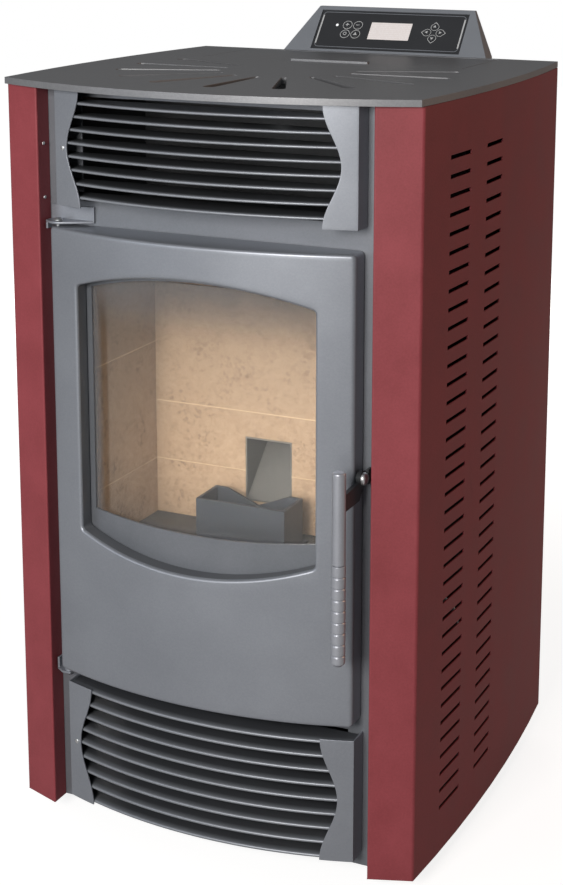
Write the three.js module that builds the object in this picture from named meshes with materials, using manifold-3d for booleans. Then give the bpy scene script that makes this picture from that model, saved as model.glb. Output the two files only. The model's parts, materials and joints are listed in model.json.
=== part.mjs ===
// Pellet stove. Millimetres, +X right, +Y to the rear, +Z up, standing on z = 0.
// y = 0 is the front of the face frame until the last lines centre the stove on its own box.
import * as THREE from 'three';
import { mergeVertices } from 'three/addons/utils/BufferGeometryUtils.js';
import Module from 'manifold-3d';

const wasm = await Module();
wasm.setup();

// ---- clearances ----
const seat = 0.3; // between pieces that touch
const slack = 1; // round a piece that moves
const sheet = 2; // steel sheet of the casing
const past = 1; // how far a cutting tool runs beyond the face it cuts
const cutReach = 300; // a cutting tool that goes right through a thin piece

// ---- casing ----
const footHeight = 20;
const bodyHeight = 960; // floor to the top plate's upper face
const bodyDepth = 503; // face frame to the top plate's rear edge
const plateThickness = 8;
const bodyWidth = 570; // across the top plate's bowed sides
const plateFrontY = -15;
const plateFrontBow = 59;
const plateSideBow = 14;
const panelProud = 1; // side panels beyond the plate's corners
const panelSideBow = 12;
const rearInset = 3; // rear panel inside the plate's rear edge
const pillarWidth = 53;
const pillarCant = 18.4;
const pillarFrontY = -26.6;

// ---- sunburst in the top plate ----
const rayCount = 11;
const rayTurns = 16; // a full circle would hold this many rays
const rayBehind = 127; // sunburst's centre to the hopper lid
const rayInner = 85;
const rayOuter = 220;
const rayInnerWidth = 8;
const rayOuterWidth = 16;

// ---- hopper lid ----
const lidSideMargin = 10; // lid's opening inside the hopper
const lidFrontMargin = 12;
const lidRearMargin = 10; // strip of plate left behind the lid
const lidGap = 1;
const lidPinRadius = 2;
const lidPinLength = 9;
const lipHalfWidth = 56;
const lipDepth = 7;
const lipHeight = 3;

// ---- slots in the side panels ----
const slotTopMargin = 60; // least height of sheet above the slots
const slotPitch = 22.4;
const slotHeight = 5;
const slotLowest = 80;
const slotColumns = [[63, 124], [176, 232]];

// ---- face frame ----
const frameThickness = 3;
const frameLap = 21; // frame behind the pillars
const fireOpeningMargin = 3; // opening beyond the side bricks
const fireOpeningDrop = 5; // opening below the top of the bricks
const ashOpeningLow = 13; // opening above the firebox's bottom
const ashOpeningDrop = 21; // opening below the fire's floor
const frameTopStrip = 12; // frame left above the upper opening

// ---- bowed front, shared by the door and the grilles ----
const doorSideGap = 17.5; // half of what the pillars leave beside the door
const doorCentre = -2.5; // the door hangs nearer to the left pillar
const bowEdgeY = -27;
const bowRise = 33;
const bowSteps = 12;

// ---- grilles ----
const grilleInset = 4.3; // half of what the door is wider than the grilles
const grilleCentre = 5;
const cheekWidth = 39.5;
const cheekWave = 20.7;
const bladeThickness = 3;
const bladeRecess = 2.5;
const bladeRearY = -5;
const upperGrille = { height: 140.7, blades: 8, firstBlade: 12, pitch: 16.1 };
const lowerGrille = { height: 157, blades: 9, firstBlade: 3.3, pitch: 18.6 };
const lowerGrilleLift = 19; // above the lower end of the panels

// ---- door ----
const doorBottomGap = 15; // door to lower grille
const doorTopGap = 28; // door to upper grille
const doorRearY = -2;
const doorSkin = 2;
const windowMargin = 44; // door's edge to the window
const windowLift = 197; // above the door's bottom
const windowTopMargin = 67;
const windowTopRise = 24;
const windowBottomDrop = 28;
const rimThickness = 2;
const rimDepth = 21;
const innerFrameInset = 22;
const innerFrameThickness = 3;
const innerFrameMargin = 15; // curved part beyond the window
const innerWing = 19; // flat wing beyond that
const wingBend = 2;
const innerOverlap = 8; // inner frame beyond the liner's opening
const innerDrop = 7;
const innerRise = 22;
const innerLap = { side: 8, low: 22, high: 4 }; // how much of the window it covers
const glassThickness = 4;
const glassMargin = { side: 1, low: 3, high: 15 }; // beyond the window
const linerThickness = 4;
const linerRearY = -5;
const linerMargin = { side: 3, low: 30, high: 18 }; // inside the window's sides, beyond it above and below
const gasketInset = { side: 14, low: 17, high: 33 }; // inside the door's edges
const gasketWidth = 8;

// ---- hinges ----
const hingeInset = 6; // pin inside the door's edge
const hingeY = -17;
const pinRadius = 3;
const pinHeadRadius = 6;
const pinHeadHeight = 4;
const pinReach = 8; // how far a pin enters the door
const bracketThickness = 3;
const leafMargin = 2; // leaf in front of the pin's head
const leafGap = 3; // upper leaf above the door
const lowerLeafDrop = 8; // lower leaf below the door
const bracketReach = 12; // bracket beyond the door's edge
const upperBracketInset = 48;
const lowerBracketInset = 16;
const tabWidth = 10; // bent tab at the bracket's outer end
const upperTabDrop = 8; // below the upper leaf
const lowerTabRise = 13; // above the lower leaf
const upperWallHeight = 20;
const lowerWallHeight = 7;

// ---- handle and latch ----
const pivotY = -18;
const pivotZ = 519;
const leverDrop = 24; // lever's lower edge below the pivot
const leverHeight = 20;
const leverGap = 2; // lever beyond the door's edge
const leverThickness = 5;
const leverEye = 9;
const leverCrown = 1; // top of the lever below the eye's
const leverNeck = 2; // rise of the bar in front of the eye
const boltRadius = 4;
const nutRadius = 6.4;
const nutHeight = 5;
const hookRadius = 17;
const keeperReach = 12; // pivot to keeper pin
const keeperRadius = 2;
const keeperPlate = 3;
const keeperHalf = 9;
const keeperFoot = 9;
const hookToothAngle = 14;
const hookHeelAngle = -38;
const slotSweep = 70; // the hook's slot, past the handle's travel
const handleInset = 2; // rod's axis inside the lever's face
const handleY = -70;
const rodRadius = 8;
const rodRise = 23; // rod's end above the pivot
const gripDrop = 87; // grip's top below the pivot
const gripLength = 123;
const gripRibs = 9;
const gripRadius = 8.5;
const gripGroove = 1.2;
const gripEnd = 4; // solid end of the grip below its bore
const rodChamfer = 1.5;
const spindleRadius = 5;

// ---- firebox ----
const fireInset = 36.5; // side brick's face inside the door's edge
const rearSpace = 340; // fire's back wall to the rear panel
const fireFloor = 366;
const brick = 25;
const courseHeight = 80;
const firstCourse = 75;
const backCourses = [0, 1]; // courses that have a joint above them
const sideCourses = [0, 2];
const jointWidth = 1.6;
const jointDepth = 1.5;
const boxWall = 3;
const boxBottom = 232;
const boxRise = 17; // firebox above the door
const brickDrop = 60; // top of the bricks below the firebox's top
const baffleThickness = 12;
const baffleFrontY = 40;
const ductInset = 3; // warm air duct inside the firebox's sides and back
const potHalf = 63;
const potLength = 57;
const potRearGap = 27; // pot's pocket to the back wall
const potRise = 60; // pot's rim above the floor
const potDepth = 70;
const potWall = 4;
const potFlange = 6;
const potNotch = 18;
const potFlangeThickness = 3;
const airHoleRadius = 3;
const airHolePitch = 20;
const ashInset = 7; // ash pan inside the bricks
const ashFrontY = 8;
const ashHeight = 88;
const ashWall = 1.5;
const ashRearGap = 8;
const ashPullHalf = 45;
const ashPullReach = 6;
const ashPullDrop = 14; // pull below the pan's rim
const ashPullThickness = 4;

// ---- pellet feed ----
const chuteHalf = 31;
const chuteRise = 37; // mouth above the floor
const chuteHeight = 82;
const chuteWall = 2;
const shaftGap = 7.7; // shaft behind the firebox
const shaftDepth = 44;
const augerRearGap = 98; // auger's low end to the rear panel
const augerLowZ = 400;
const augerRun = 185;
const augerRise = 200;
const tubeRadius = 30;
const tubeWall = 2;
const tubeSides = 20;
const tubeEnd = 4;
const screwRadius = 26;
const screwShaft = 8;
const screwPitch = 55;
const screwThickness = 3;
const screwSteps = 8;
const gearHalf = 32;
const gearLength = 45;
const motorRadius = 24;
const motorLength = 48;
const hopperSideGap = 72; // hopper to side panel
const hopperRoom = 168; // hopper's front wall to the rear panel
const hopperWall = 1.5;
const hopperWaist = 660;
const spoutHalf = 24;
const spoutFrontReach = 65; // spout's front ahead of the auger's low end
const spoutRearReach = 15;
const spoutRise = 130; // above the auger's low end
const igniterRadius = 5;
const igniterRise = 12; // above the floor
const igniterTail = 38.7; // behind the firebox
const igniterHeadRadius = 9;
const igniterHeadDepth = 8;

// ---- fans, flue and intake ----
const exhaustX = 105;
const exhaustZ = 300;
const exhaustRadius = 62;
const exhaustDepth = 84;
const exhaustWall = 2;
const exhaustEye = 30;
const exhaustMotorRadius = 34;
const exhaustMotorLength = 42;
const rotorGap = 4;
const rotorShaft = 5;
const rotorSheet = 2;
const exhaustBlades = 8;
const flueRadius = 40;
const flueWall = 1.5;
const flueZ = 125;
const flueBend = 55;
const flueReach = 42; // pipes behind the top plate
const collarLength = 30; // below the fan housing, round the flue
const flueInsert = 12; // how far the flue enters that collar
const pipeSides = 16;
const intakeX = -105;
const intakeZ = 290;
const intakeRadius = 25;
const intakeWall = 1.5;
const blowerSideGap = 67; // blower's left end to the side panel
const blowerFlueGap = 25; // blower's right end to the flue
const blowerRearGap = 168; // blower's axis to the rear panel
const blowerRadius = 42;
const blowerWall = 2;
const blowerLift = 45;
const blowerRotor = 34;
const blowerBlades = 10;
const blowerBladeDepth = 9;
const blowerMotorRadius = 24;
const blowerMotorLength = 38;
const blowerCradle = 8; // height of the cradle under the housing
const blowerLip = 8; // upper lip of the outlet, in front of the axis
const blowerIntakeHigh = 18; // half the height of the intake

// ---- base and rear ----
const baseThickness = 3;
const footInset = 57; // from the side panel
const footFrontY = 55;
const footRearInset = 58; // from the top plate's rear edge
const footPad = 22;
const footChamfer = 2;
const footRim = 6;
const footNeck = 8;
const footNeckLow = 10;
const rearVentRows = 7;
const rearVentPitch = 16;
const rearVentHeight = 6;
const rearVentHalf = 48;
const rearVentX = -80;
const rearVentLowest = 48;
const inletInset = 57; // from the side panel
const inletZ = 90;
const inletHalfWidth = 24;
const inletHalfHeight = 34;
const inletDepth = 28;
const inletFlange = 4; // flange beyond the hole in the rear panel
const inletPlate = 2.5;
const socketHalfWidth = 12;
const socketLow = 64;
const socketHigh = 81;
const socketDepth = 16;
const pinPitch = 6;
const pinHalf = 1;
const pinHeight = 6;
const pinLow = 70;
const earthPinRise = 5;
const pinRecess = 4;
const rockerZ = 107;
const rockerHalfWidth = 6.5;
const rockerHalfHeight = 8.5;
const rockerTilt = 7;
const rockerBay = 12; // depth of the bay that the rocker sits in
const rockerRear = 6;
const rockerFront = 6.5;
const rockerWaist = 5;
const rockerAxisDepth = 3;

// ---- console ----
const consoleX = 12;
const consoleTilt = 50;
const consoleSlope = 80;
const consoleBaseHalf = 155;
const consoleTopHalf = 120;
const consoleFootDepth = 28; // console's foot behind the top plate
const consoleDepth = 59; // its top edge behind the top plate
const consoleSkirt = 46;
const consoleWall = 3;
const faceHalf = 114;
const faceLow = 4;
const faceHigh = 74;
const faceThickness = 3;
const faceRecess = 1;
const lcdHalfWidth = 31.5;
const lcdLow = 25;
const lcdHigh = 55;
const lcdRecess = 0.8;
const buttonRadius = 5.8;
const buttonChamfer = 0.6;
const buttonX = -59.5;
const buttonY = 40.2;
const buttonPitchX = 16.3;
const buttonPitchY = 15.8;
const padX = 67;
const padY = 40;
const petalReach = 10;
const petalRadius = 5;
const petalTip = 16;
const keyTravelRoom = 1; // how far a key stands proud of the face

// ---- worked out ----
const plateBottom = bodyHeight - plateThickness;
const caseTop = plateBottom - seat;
const plateHalfWidth = bodyWidth / 2 - plateSideBow;
const panelHalf = plateHalfWidth + panelProud;
const panelFrontY = pillarFrontY + pillarCant;
const pillarInner = panelHalf - pillarWidth;
const caseRearY = bodyDepth - rearInset;
const rearPanelY = caseRearY - sheet;
const frameHalfWidth = pillarInner + frameLap;

const bowHalf = pillarInner - doorSideGap;
const bowRadius = (bowHalf ** 2 + bowRise ** 2) / (2 * bowRise);
const bowCentreY = bowEdgeY - bowRise + bowRadius;
const grilleHalf = bowHalf - grilleInset;
upperGrille.bottom = caseTop - upperGrille.height;
lowerGrille.bottom = footHeight + lowerGrilleLift;

const doorBottom = lowerGrille.bottom + lowerGrille.height + doorBottomGap;
const doorTop = upperGrille.bottom - doorTopGap;
const windowHalf = bowHalf - windowMargin;
const windowLow = doorBottom + windowLift;
const windowHigh = doorTop - windowTopMargin;
const linerFrontY = linerRearY - linerThickness;
const linerOpeningHalf = windowHalf - linerMargin.side;
const linerOpeningLow = windowLow - linerMargin.low;
const linerOpeningHigh = windowHigh + linerMargin.high;
const innerFrameHalf = windowHalf + innerFrameMargin;
const gasketHalf = bowHalf - gasketInset.side;
const gasketLow = doorBottom + gasketInset.low;
const gasketHigh = doorTop - gasketInset.high;

const hingeX = -bowHalf + hingeInset;
const upperLeafZ = doorTop + leafGap;
const lowerLeafZ = doorBottom - lowerLeafDrop;
const bracketOuterX = -bowHalf - bracketReach;
const leverX = bowHalf + leverGap;
const leverLow = pivotZ - leverDrop;
const leverHigh = leverLow + leverHeight;
const keeperY = pivotY + keeperReach;
const handleX = leverX - handleInset;
const gripTop = pivotZ - gripDrop;
const gripBottom = gripTop - gripLength;

const fireHalf = bowHalf - fireInset;
const fireBackY = rearPanelY - rearSpace;
const boxTop = doorTop + boxRise;
const brickTop = boxTop - brickDrop;
const boxInnerHalf = fireHalf + brick + seat;
const boxOuterHalf = boxInnerHalf + boxWall;
const boxFrontY = frameThickness + seat;
const boxInnerRearY = fireBackY + brick + seat;
const boxRearY = boxInnerRearY + boxWall;
const floorBottom = fireFloor - boxWall;
const potRearY = fireBackY - potRearGap;
const potFrontY = potRearY - potLength;
const potTop = fireFloor + potRise;
const igniterZ = fireFloor + igniterRise;

const chuteBottom = fireFloor + chuteRise;
const chuteTop = chuteBottom + chuteHeight;
const shaftFrontY = boxRearY + shaftGap;
const shaftRearY = shaftFrontY + shaftDepth;
const augerLowY = rearPanelY - augerRearGap;
const augerHighZ = augerLowZ + augerRise;
const augerAngle = Math.atan2(augerRun, augerRise);
const augerLength = Math.hypot(augerRun, augerRise);
const tubeInner = tubeRadius - tubeWall;
const hopperHalf = panelHalf - hopperSideGap;
const hopperFrontY = rearPanelY - hopperRoom;
const spoutFrontY = augerLowY - spoutFrontReach;
const spoutRearY = augerLowY - spoutRearReach;

const lidHalfWidth = hopperHalf - lidSideMargin;
const lidFrontY = hopperFrontY + lidFrontMargin;
const lidRearY = bodyDepth - lidRearMargin;
const lidPinY = lidRearY - lidGap - plateThickness / 2;
const lidPinZ = bodyHeight - plateThickness / 2;
const rayCentreY = lidFrontY - rayBehind;

const flueRearY = bodyDepth + flueReach;
const blowerLeft = -panelHalf + blowerSideGap;
const blowerRight = exhaustX - flueRadius - blowerFlueGap;
const blowerY = rearPanelY - blowerRearGap;
const blowerZ = footHeight + baseThickness + seat + blowerLift;
const footX = panelHalf - footInset;
const footRearY = bodyDepth - footRearInset;
const inletX = -panelHalf + inletInset;
const consoleFrontY = bodyDepth + slack;
const consoleFootY = bodyDepth + consoleFootDepth;
const consoleRearY = bodyDepth + consoleDepth;

// ---- finishes ----
const finishes = {
  redPaint: { color: 0x8a3d42, roughness: 0.6, metalness: 0.1 },
  greyPaint: { color: 0x858a92, roughness: 0.5, metalness: 0.3 },
  darkPaint: { color: 0x56585b, roughness: 0.55, metalness: 0.3 },
  plate: { color: 0x5d5e60, roughness: 0.6, metalness: 0.3 },
  vermiculite: { color: 0xc4a47e, roughness: 0.95, metalness: 0 },
  castIron: { color: 0x55585b, roughness: 0.8, metalness: 0.4 },
  zinc: { color: 0xb4b7ba, roughness: 0.35, metalness: 0.9 },
  glass: { color: 0xdfe6e6, roughness: 0.05, metalness: 0, transparent: true, opacity: 0.35 },
  rope: { color: 0x8c8c88, roughness: 1, metalness: 0 },
  blackPlastic: { color: 0x2c2d2f, roughness: 0.4, metalness: 0 },
  greyPlastic: { color: 0x8d9095, roughness: 0.5, metalness: 0 },
  display: { color: 0xddd5d2, roughness: 0.2, metalness: 0 },
  rubber: { color: 0x2a2a2a, roughness: 0.9, metalness: 0 },
};

// ---- shape helpers ----
const stove = new THREE.Group();

function add(name, geometry, finish, parent = stove) {
  const mesh = new THREE.Mesh(geometry, new THREE.MeshStandardMaterial(finishes[finish]));
  mesh.name = name;
  parent.add(mesh);
  return mesh;
}

function solidOf(geometry) {
  const plain = geometry.clone();
  plain.deleteAttribute('normal');
  plain.deleteAttribute('uv');
  const merged = mergeVertices(plain);
  const vertProperties = new Float32Array(merged.attributes.position.array);
  const triVerts = new Uint32Array(merged.index.array);
  return new wasm.Manifold(new wasm.Mesh({ numProp: 3, vertProperties, triVerts }));
}

function geometryOf(solid) {
  const mesh = solid.getMesh();
  const geometry = new THREE.BufferGeometry();
  geometry.setAttribute('position', new THREE.BufferAttribute(mesh.vertProperties, 3));
  geometry.setIndex(new THREE.BufferAttribute(mesh.triVerts, 1));
  geometry.computeVertexNormals();
  return geometry;
}

function join(...parts) {
  return geometryOf(parts.map(solidOf).reduce((whole, next) => whole.add(next)));
}

function cut(body, ...tools) {
  return geometryOf(tools.map(solidOf).reduce((whole, tool) => whole.subtract(tool), solidOf(body)));
}

function common(a, b) {
  return geometryOf(solidOf(a).intersect(solidOf(b)));
}

function block(x0, x1, y0, y1, z0, z1) {
  const box = new THREE.BoxGeometry(x1 - x0, y1 - y0, z1 - z0);
  return box.translate((x0 + x1) / 2, (y0 + y1) / 2, (z0 + z1) / 2);
}

function shapeOf(points) {
  return new THREE.Shape(points.map(([a, b]) => new THREE.Vector2(a, b)));
}

function extrude(points, depth) {
  return new THREE.ExtrudeGeometry(shapeOf(points), { depth, bevelEnabled: false });
}

// outline in XY, raised from z0 to z1
function plan(points, z0, z1) {
  return extrude(points, z1 - z0).translate(0, 0, z0);
}

// outline in XZ, running from y0 to y1
function front(points, y0, y1) {
  return extrude(points, y1 - y0).rotateX(Math.PI / 2).translate(0, y1, 0);
}

// outline in YZ, running from x0 to x1
function side(points, x0, x1) {
  const turn = new THREE.Matrix4().set(0, 0, 1, 0, 1, 0, 0, 0, 0, 1, 0, 0, 0, 0, 0, 1);
  return extrude(points, x1 - x0).applyMatrix4(turn).translate(x0, 0, 0);
}

function discX(radius, x0, x1, y, z, sides = 16) {
  const round = new THREE.CylinderGeometry(radius, radius, x1 - x0, sides);
  return round.rotateZ(Math.PI / 2).translate((x0 + x1) / 2, y, z);
}

function discY(radius, y0, y1, x, z, sides = 16) {
  const round = new THREE.CylinderGeometry(radius, radius, y1 - y0, sides);
  return round.translate(x, (y0 + y1) / 2, z);
}

function discZ(radius, z0, z1, x, y, sides = 16) {
  const round = new THREE.CylinderGeometry(radius, radius, z1 - z0, sides);
  return round.rotateX(Math.PI / 2).translate(x, y, (z0 + z1) / 2);
}

// profile of [radius, z] turned about a vertical line through x, y
function turned(profile, x, y, sides = 16) {
  const points = profile.map(([r, z]) => new THREE.Vector2(r, z));
  return new THREE.LatheGeometry(points, sides).rotateX(Math.PI / 2).translate(x, y, 0);
}

// closed skin over rings of points, each ring convex and of the same count
function loft(rings) {
  const count = rings[0].length;
  const index = [];
  for (let r = 0; r + 1 < rings.length; r += 1) {
    for (let i = 0; i < count; i += 1) {
      const a = r * count + i;
      const b = r * count + ((i + 1) % count);
      index.push(a, b, a + count, b, b + count, a + count);
    }
  }
  const last = (rings.length - 1) * count;
  for (let i = 1; i + 1 < count; i += 1) {
    index.push(0, i + 1, i);
    index.push(last, last + i, last + i + 1);
  }
  const geometry = new THREE.BufferGeometry();
  geometry.setAttribute('position', new THREE.Float32BufferAttribute(rings.flat(2), 3));
  geometry.setIndex(index);
  return geometry;
}

// level rectangle as a ring for loft
function level(x0, x1, y0, y1, z) {
  return [[x0, y0, z], [x1, y0, z], [x1, y1, z], [x0, y1, z]];
}

// points from a to b on a circular arc that bulges by rise to the right of a to b
function arc([ax, ay], [bx, by], rise, steps) {
  const chord = Math.hypot(bx - ax, by - ay);
  const radius = (chord ** 2 / 4 + rise ** 2) / (2 * rise);
  const half = Math.asin(chord / 2 / radius);
  const ux = (bx - ax) / chord;
  const uy = (by - ay) / chord;
  const points = [];
  for (let i = 0; i <= steps; i += 1) {
    const t = -half + (2 * half * i) / steps;
    const along = chord / 2 + radius * Math.sin(t);
    const out = radius * Math.cos(t) - (radius - rise);
    points.push([ax + ux * along + uy * out, ay + uy * along - ux * out]);
  }
  return points;
}

// bent sheet: a path and its copy, offset to the left by its thickness
function bentSheet(path, thickness) {
  const normals = path.slice(1).map(([x, y], i) => {
    const [px, py] = path[i];
    const length = Math.hypot(x - px, y - py);
    return [-(y - py) / length, (x - px) / length];
  });
  const offset = path.map(([x, y], i) => {
    const before = normals[Math.max(i - 1, 0)];
    const after = normals[Math.min(i, normals.length - 1)];
    const scale = thickness / (1 + before[0] * after[0] + before[1] * after[1]);
    return [x + (before[0] + after[0]) * scale, y + (before[1] + after[1]) * scale];
  });
  return [...path, ...offset.reverse()];
}

function mirrorX(points) {
  return points.map(([x, y]) => [-x, y]);
}

// points of the bowed front, set back by inset
function bow(half, inset, steps = bowSteps) {
  const radius = bowRadius - inset;
  const points = [];
  for (let i = 0; i <= steps; i += 1) {
    const x = -half + (2 * half * i) / steps;
    points.push([x, bowCentreY - Math.sqrt(radius ** 2 - x ** 2)]);
  }
  return points;
}

// region of the plan between the bowed front at one inset and at another
function bowBand(half, insetFront, insetBack) {
  return [...bow(half, insetFront), ...bow(half, insetBack).reverse()];
}

// region of the plan between the bowed front and a straight rear
function bowBlock(half, inset, rearY) {
  return [...bow(half, inset), [half, rearY], [-half, rearY]];
}

// window outline with bowed top and bottom, grown by margin
function windowOutline(half, low, high, drop, rise, margin) {
  const steps = 10;
  const bottom = arc([-half - margin, low - margin], [half + margin, low - margin], drop, steps);
  const top = arc([half + margin, high + margin], [-half - margin, high + margin], rise, steps);
  return [...bottom, ...top];
}

// ---- top plate and hopper lid ----
function rayOutline(index) {
  const angle = Math.PI + ((index - (rayCount - 1) / 2) * 2 * Math.PI) / rayTurns + Math.PI / 2;
  const ends = [[rayInner, rayInnerWidth / 2], [rayOuter, rayOuterWidth / 2]];
  const local = [];
  for (const [end, turn] of [[0, Math.PI / 2], [1, -Math.PI / 2]]) {
    const [reach, radius] = ends[end];
    const centre = end ? reach - radius : reach + radius;
    for (let i = 0; i <= 4; i += 1) {
      const t = turn + (Math.PI * i) / 4;
      local.push([centre + radius * Math.cos(t), radius * Math.sin(t)]);
    }
  }
  const cos = Math.cos(angle);
  const sin = Math.sin(angle);
  return local.map(([u, v]) => [u * cos - v * sin, rayCentreY + u * sin + v * cos]);
}

function topPlate() {
  const left = -plateHalfWidth;
  const right = plateHalfWidth;
  const outline = [
    ...arc([left, plateFrontY], [right, plateFrontY], plateFrontBow, 20),
    ...arc([right, plateFrontY], [right, bodyDepth], plateSideBow, 8).slice(1),
    ...arc([left, bodyDepth], [left, plateFrontY], plateSideBow, 8).slice(0, -1),
  ];
  const tools = [];
  for (let i = 0; i < rayCount; i += 1) {
    tools.push(plan(rayOutline(i), plateBottom - past, bodyHeight + past));
  }
  tools.push(block(-lidHalfWidth, lidHalfWidth, lidFrontY, lidRearY, plateBottom - past, bodyHeight + past));
  const reach = lidHalfWidth + lidPinLength;
  tools.push(discX(lidPinRadius + seat, -reach, reach, lidPinY, lidPinZ, 12));
  return cut(plan(outline, plateBottom, bodyHeight), ...tools);
}

function hopperLid() {
  const half = lidHalfWidth - lidGap;
  const frontY = lidFrontY + lidGap;
  const flap = block(-half, half, frontY, lidPinY, plateBottom, bodyHeight);
  const knuckle = discX(plateThickness / 2, -half, half, lidPinY, lidPinZ);
  const reach = half + lidPinLength;
  const pin = discX(lidPinRadius, -reach, reach, lidPinY, lidPinZ, 12);
  const lip = block(-lipHalfWidth, lipHalfWidth, frontY, frontY + lipDepth, lidPinZ, bodyHeight + lipHeight);
  return join(flap, knuckle, pin, lip);
}

// ---- side panels ----
function sidePanel(sign) {
  const path = [
    [pillarInner, -seat],
    [pillarInner, pillarFrontY],
    ...arc([panelHalf, panelFrontY], [panelHalf, caseRearY], panelSideBow, 8),
  ];
  let outline = bentSheet(path, sheet);
  if (sign < 0) outline = mirrorX(outline).reverse();
  const inner = sign * (panelHalf - 2 * sheet);
  const outer = sign * (panelHalf + panelSideBow + sheet);
  const slots = [];
  for (const [y0, y1] of slotColumns) {
    for (let z = slotLowest; z <= caseTop - slotTopMargin; z += slotPitch) {
      const low = z - slotHeight / 2;
      slots.push(block(Math.min(inner, outer), Math.max(inner, outer), y0, y1, low, low + slotHeight));
    }
  }
  return cut(plan(outline, footHeight, caseTop), ...slots);
}

// ---- face frame ----
function faceFrame() {
  const left = grilleCentre - grilleHalf + cheekWidth / 2;
  const right = grilleCentre + grilleHalf - cheekWidth / 2;
  const openingHalf = fireHalf + fireOpeningMargin;
  const rear = frameThickness + past;
  return cut(
    block(-frameHalfWidth, frameHalfWidth, 0, frameThickness, footHeight, caseTop),
    block(-openingHalf, openingHalf, -past, rear, fireFloor, brickTop - fireOpeningDrop),
    block(-openingHalf, openingHalf, -past, rear, boxBottom + ashOpeningLow, fireFloor - ashOpeningDrop),
    block(left, right, -past, rear, upperGrille.bottom + sheet, caseTop - frameTopStrip),
    block(left, right, -past, rear, lowerGrille.bottom, lowerGrille.bottom + lowerGrille.height - sheet),
  );
}

// ---- grilles ----
const grillePlace = new THREE.Group();
grillePlace.position.x = grilleCentre;
stove.add(grillePlace);

function grille({ bottom: low, height, blades: bladeCount, firstBlade, pitch }) {
  const high = low + height;
  const cheekInner = grilleHalf - cheekWidth;
  const shell = plan(bowBand(grilleHalf, 0, sheet), low, high);
  const steps = 12;
  const gap = [];
  for (let i = 0; i <= steps; i += 1) {
    const t = i / steps;
    const z = low - past + t * (high - low + 2 * past);
    gap.push([cheekInner + cheekWave * Math.sin(Math.PI * t) ** 2, z]);
  }
  const between = front([...gap, ...mirrorX(gap).reverse()], -cutReach, 0);
  const wallFront = bow(grilleHalf, 0)[0][1] + sheet / 2;
  const walls = [-1, 1].map((sign) => {
    const x = sign * (grilleHalf - sheet / 2);
    return block(x - sheet / 2, x + sheet / 2, wallFront, -seat, low, high);
  });
  const blades = [];
  for (let i = 0; i < bladeCount; i += 1) {
    const z = low + firstBlade + i * pitch - bladeThickness / 2;
    const outline = bowBlock(grilleHalf - sheet / 2, bladeRecess - sheet / 2, bladeRearY);
    blades.push(plan(outline, z, z + bladeThickness));
  }
  return join(cut(shell, between), ...walls, ...blades);
}

// ---- door ----
const doorPlace = new THREE.Group();
doorPlace.position.x = doorCentre;
stove.add(doorPlace);

function doorSkinShape() {
  const outer = plan(bowBlock(bowHalf, 0, doorRearY), doorBottom, doorTop);
  const hollow = plan(
    bowBlock(bowHalf - doorSkin, doorSkin, doorRearY + past),
    doorBottom + doorSkin,
    doorTop - doorSkin,
  );
  const open = windowOutline(windowHalf, windowLow, windowHigh, windowBottomDrop, windowTopRise, 0);
  const rim = windowOutline(windowHalf, windowLow, windowHigh, windowBottomDrop, windowTopRise,
    rimThickness);
  const band = plan(bowBand(bowHalf - doorSkin, doorSkin / 2, rimDepth), doorBottom, doorTop);
  const collar = common(front(rim, -cutReach, cutReach), band);
  const pinHole = pinRadius + seat;
  return cut(
    join(cut(outer, hollow), collar),
    front(open, -cutReach, cutReach),
    discZ(pinHole, doorBottom - past, doorTop + past, hingeX, hingeY, 12),
    discX(boltRadius + seat, bowHalf - doorSkin - past, bowHalf + past, pivotY, pivotZ, 12),
  );
}

function innerFrame() {
  const wingFront = linerFrontY - seat - innerFrameThickness;
  const wingBack = linerFrontY - seat;
  const bend = innerFrameHalf + wingBend;
  const wingHalf = innerFrameHalf + innerWing;
  const back = innerFrameInset + innerFrameThickness;
  const outline = [
    [-wingHalf, wingFront],
    [-bend, wingFront],
    ...bow(innerFrameHalf, innerFrameInset),
    [bend, wingFront],
    [wingHalf, wingFront],
    [wingHalf, wingBack],
    [bend, wingBack],
    ...bow(innerFrameHalf, back).reverse(),
    [-bend, wingBack],
    [-wingHalf, wingBack],
  ];
  const open = windowOutline(windowHalf - innerLap.side, windowLow + innerLap.low,
    windowHigh - innerLap.high, innerDrop, innerRise, 0);
  const plate = plan(outline, linerOpeningLow - innerOverlap, linerOpeningHigh + innerOverlap);
  return cut(plate, front(open, -cutReach, cutReach));
}

function doorGlass() {
  const inset = innerFrameInset + innerFrameThickness + seat;
  const outline = bowBand(windowHalf + glassMargin.side, inset, inset + glassThickness);
  return plan(outline, windowLow - glassMargin.low, windowHigh + glassMargin.high);
}

function doorLiner() {
  const half = bowHalf - doorSkin - seat;
  const low = doorBottom + doorSkin + seat;
  const high = doorTop - doorSkin - seat;
  return cut(
    block(-half, half, linerFrontY, linerRearY, low, high),
    block(-linerOpeningHalf, linerOpeningHalf, -cutReach, cutReach, linerOpeningLow, linerOpeningHigh),
  );
}

function doorGasket() {
  const inner = gasketHalf - gasketWidth;
  return cut(
    block(-gasketHalf, gasketHalf, linerRearY + seat, -seat, gasketLow, gasketHigh),
    block(-inner, inner, -cutReach, cutReach, gasketLow + gasketWidth, gasketHigh - gasketWidth),
  );
}

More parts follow.
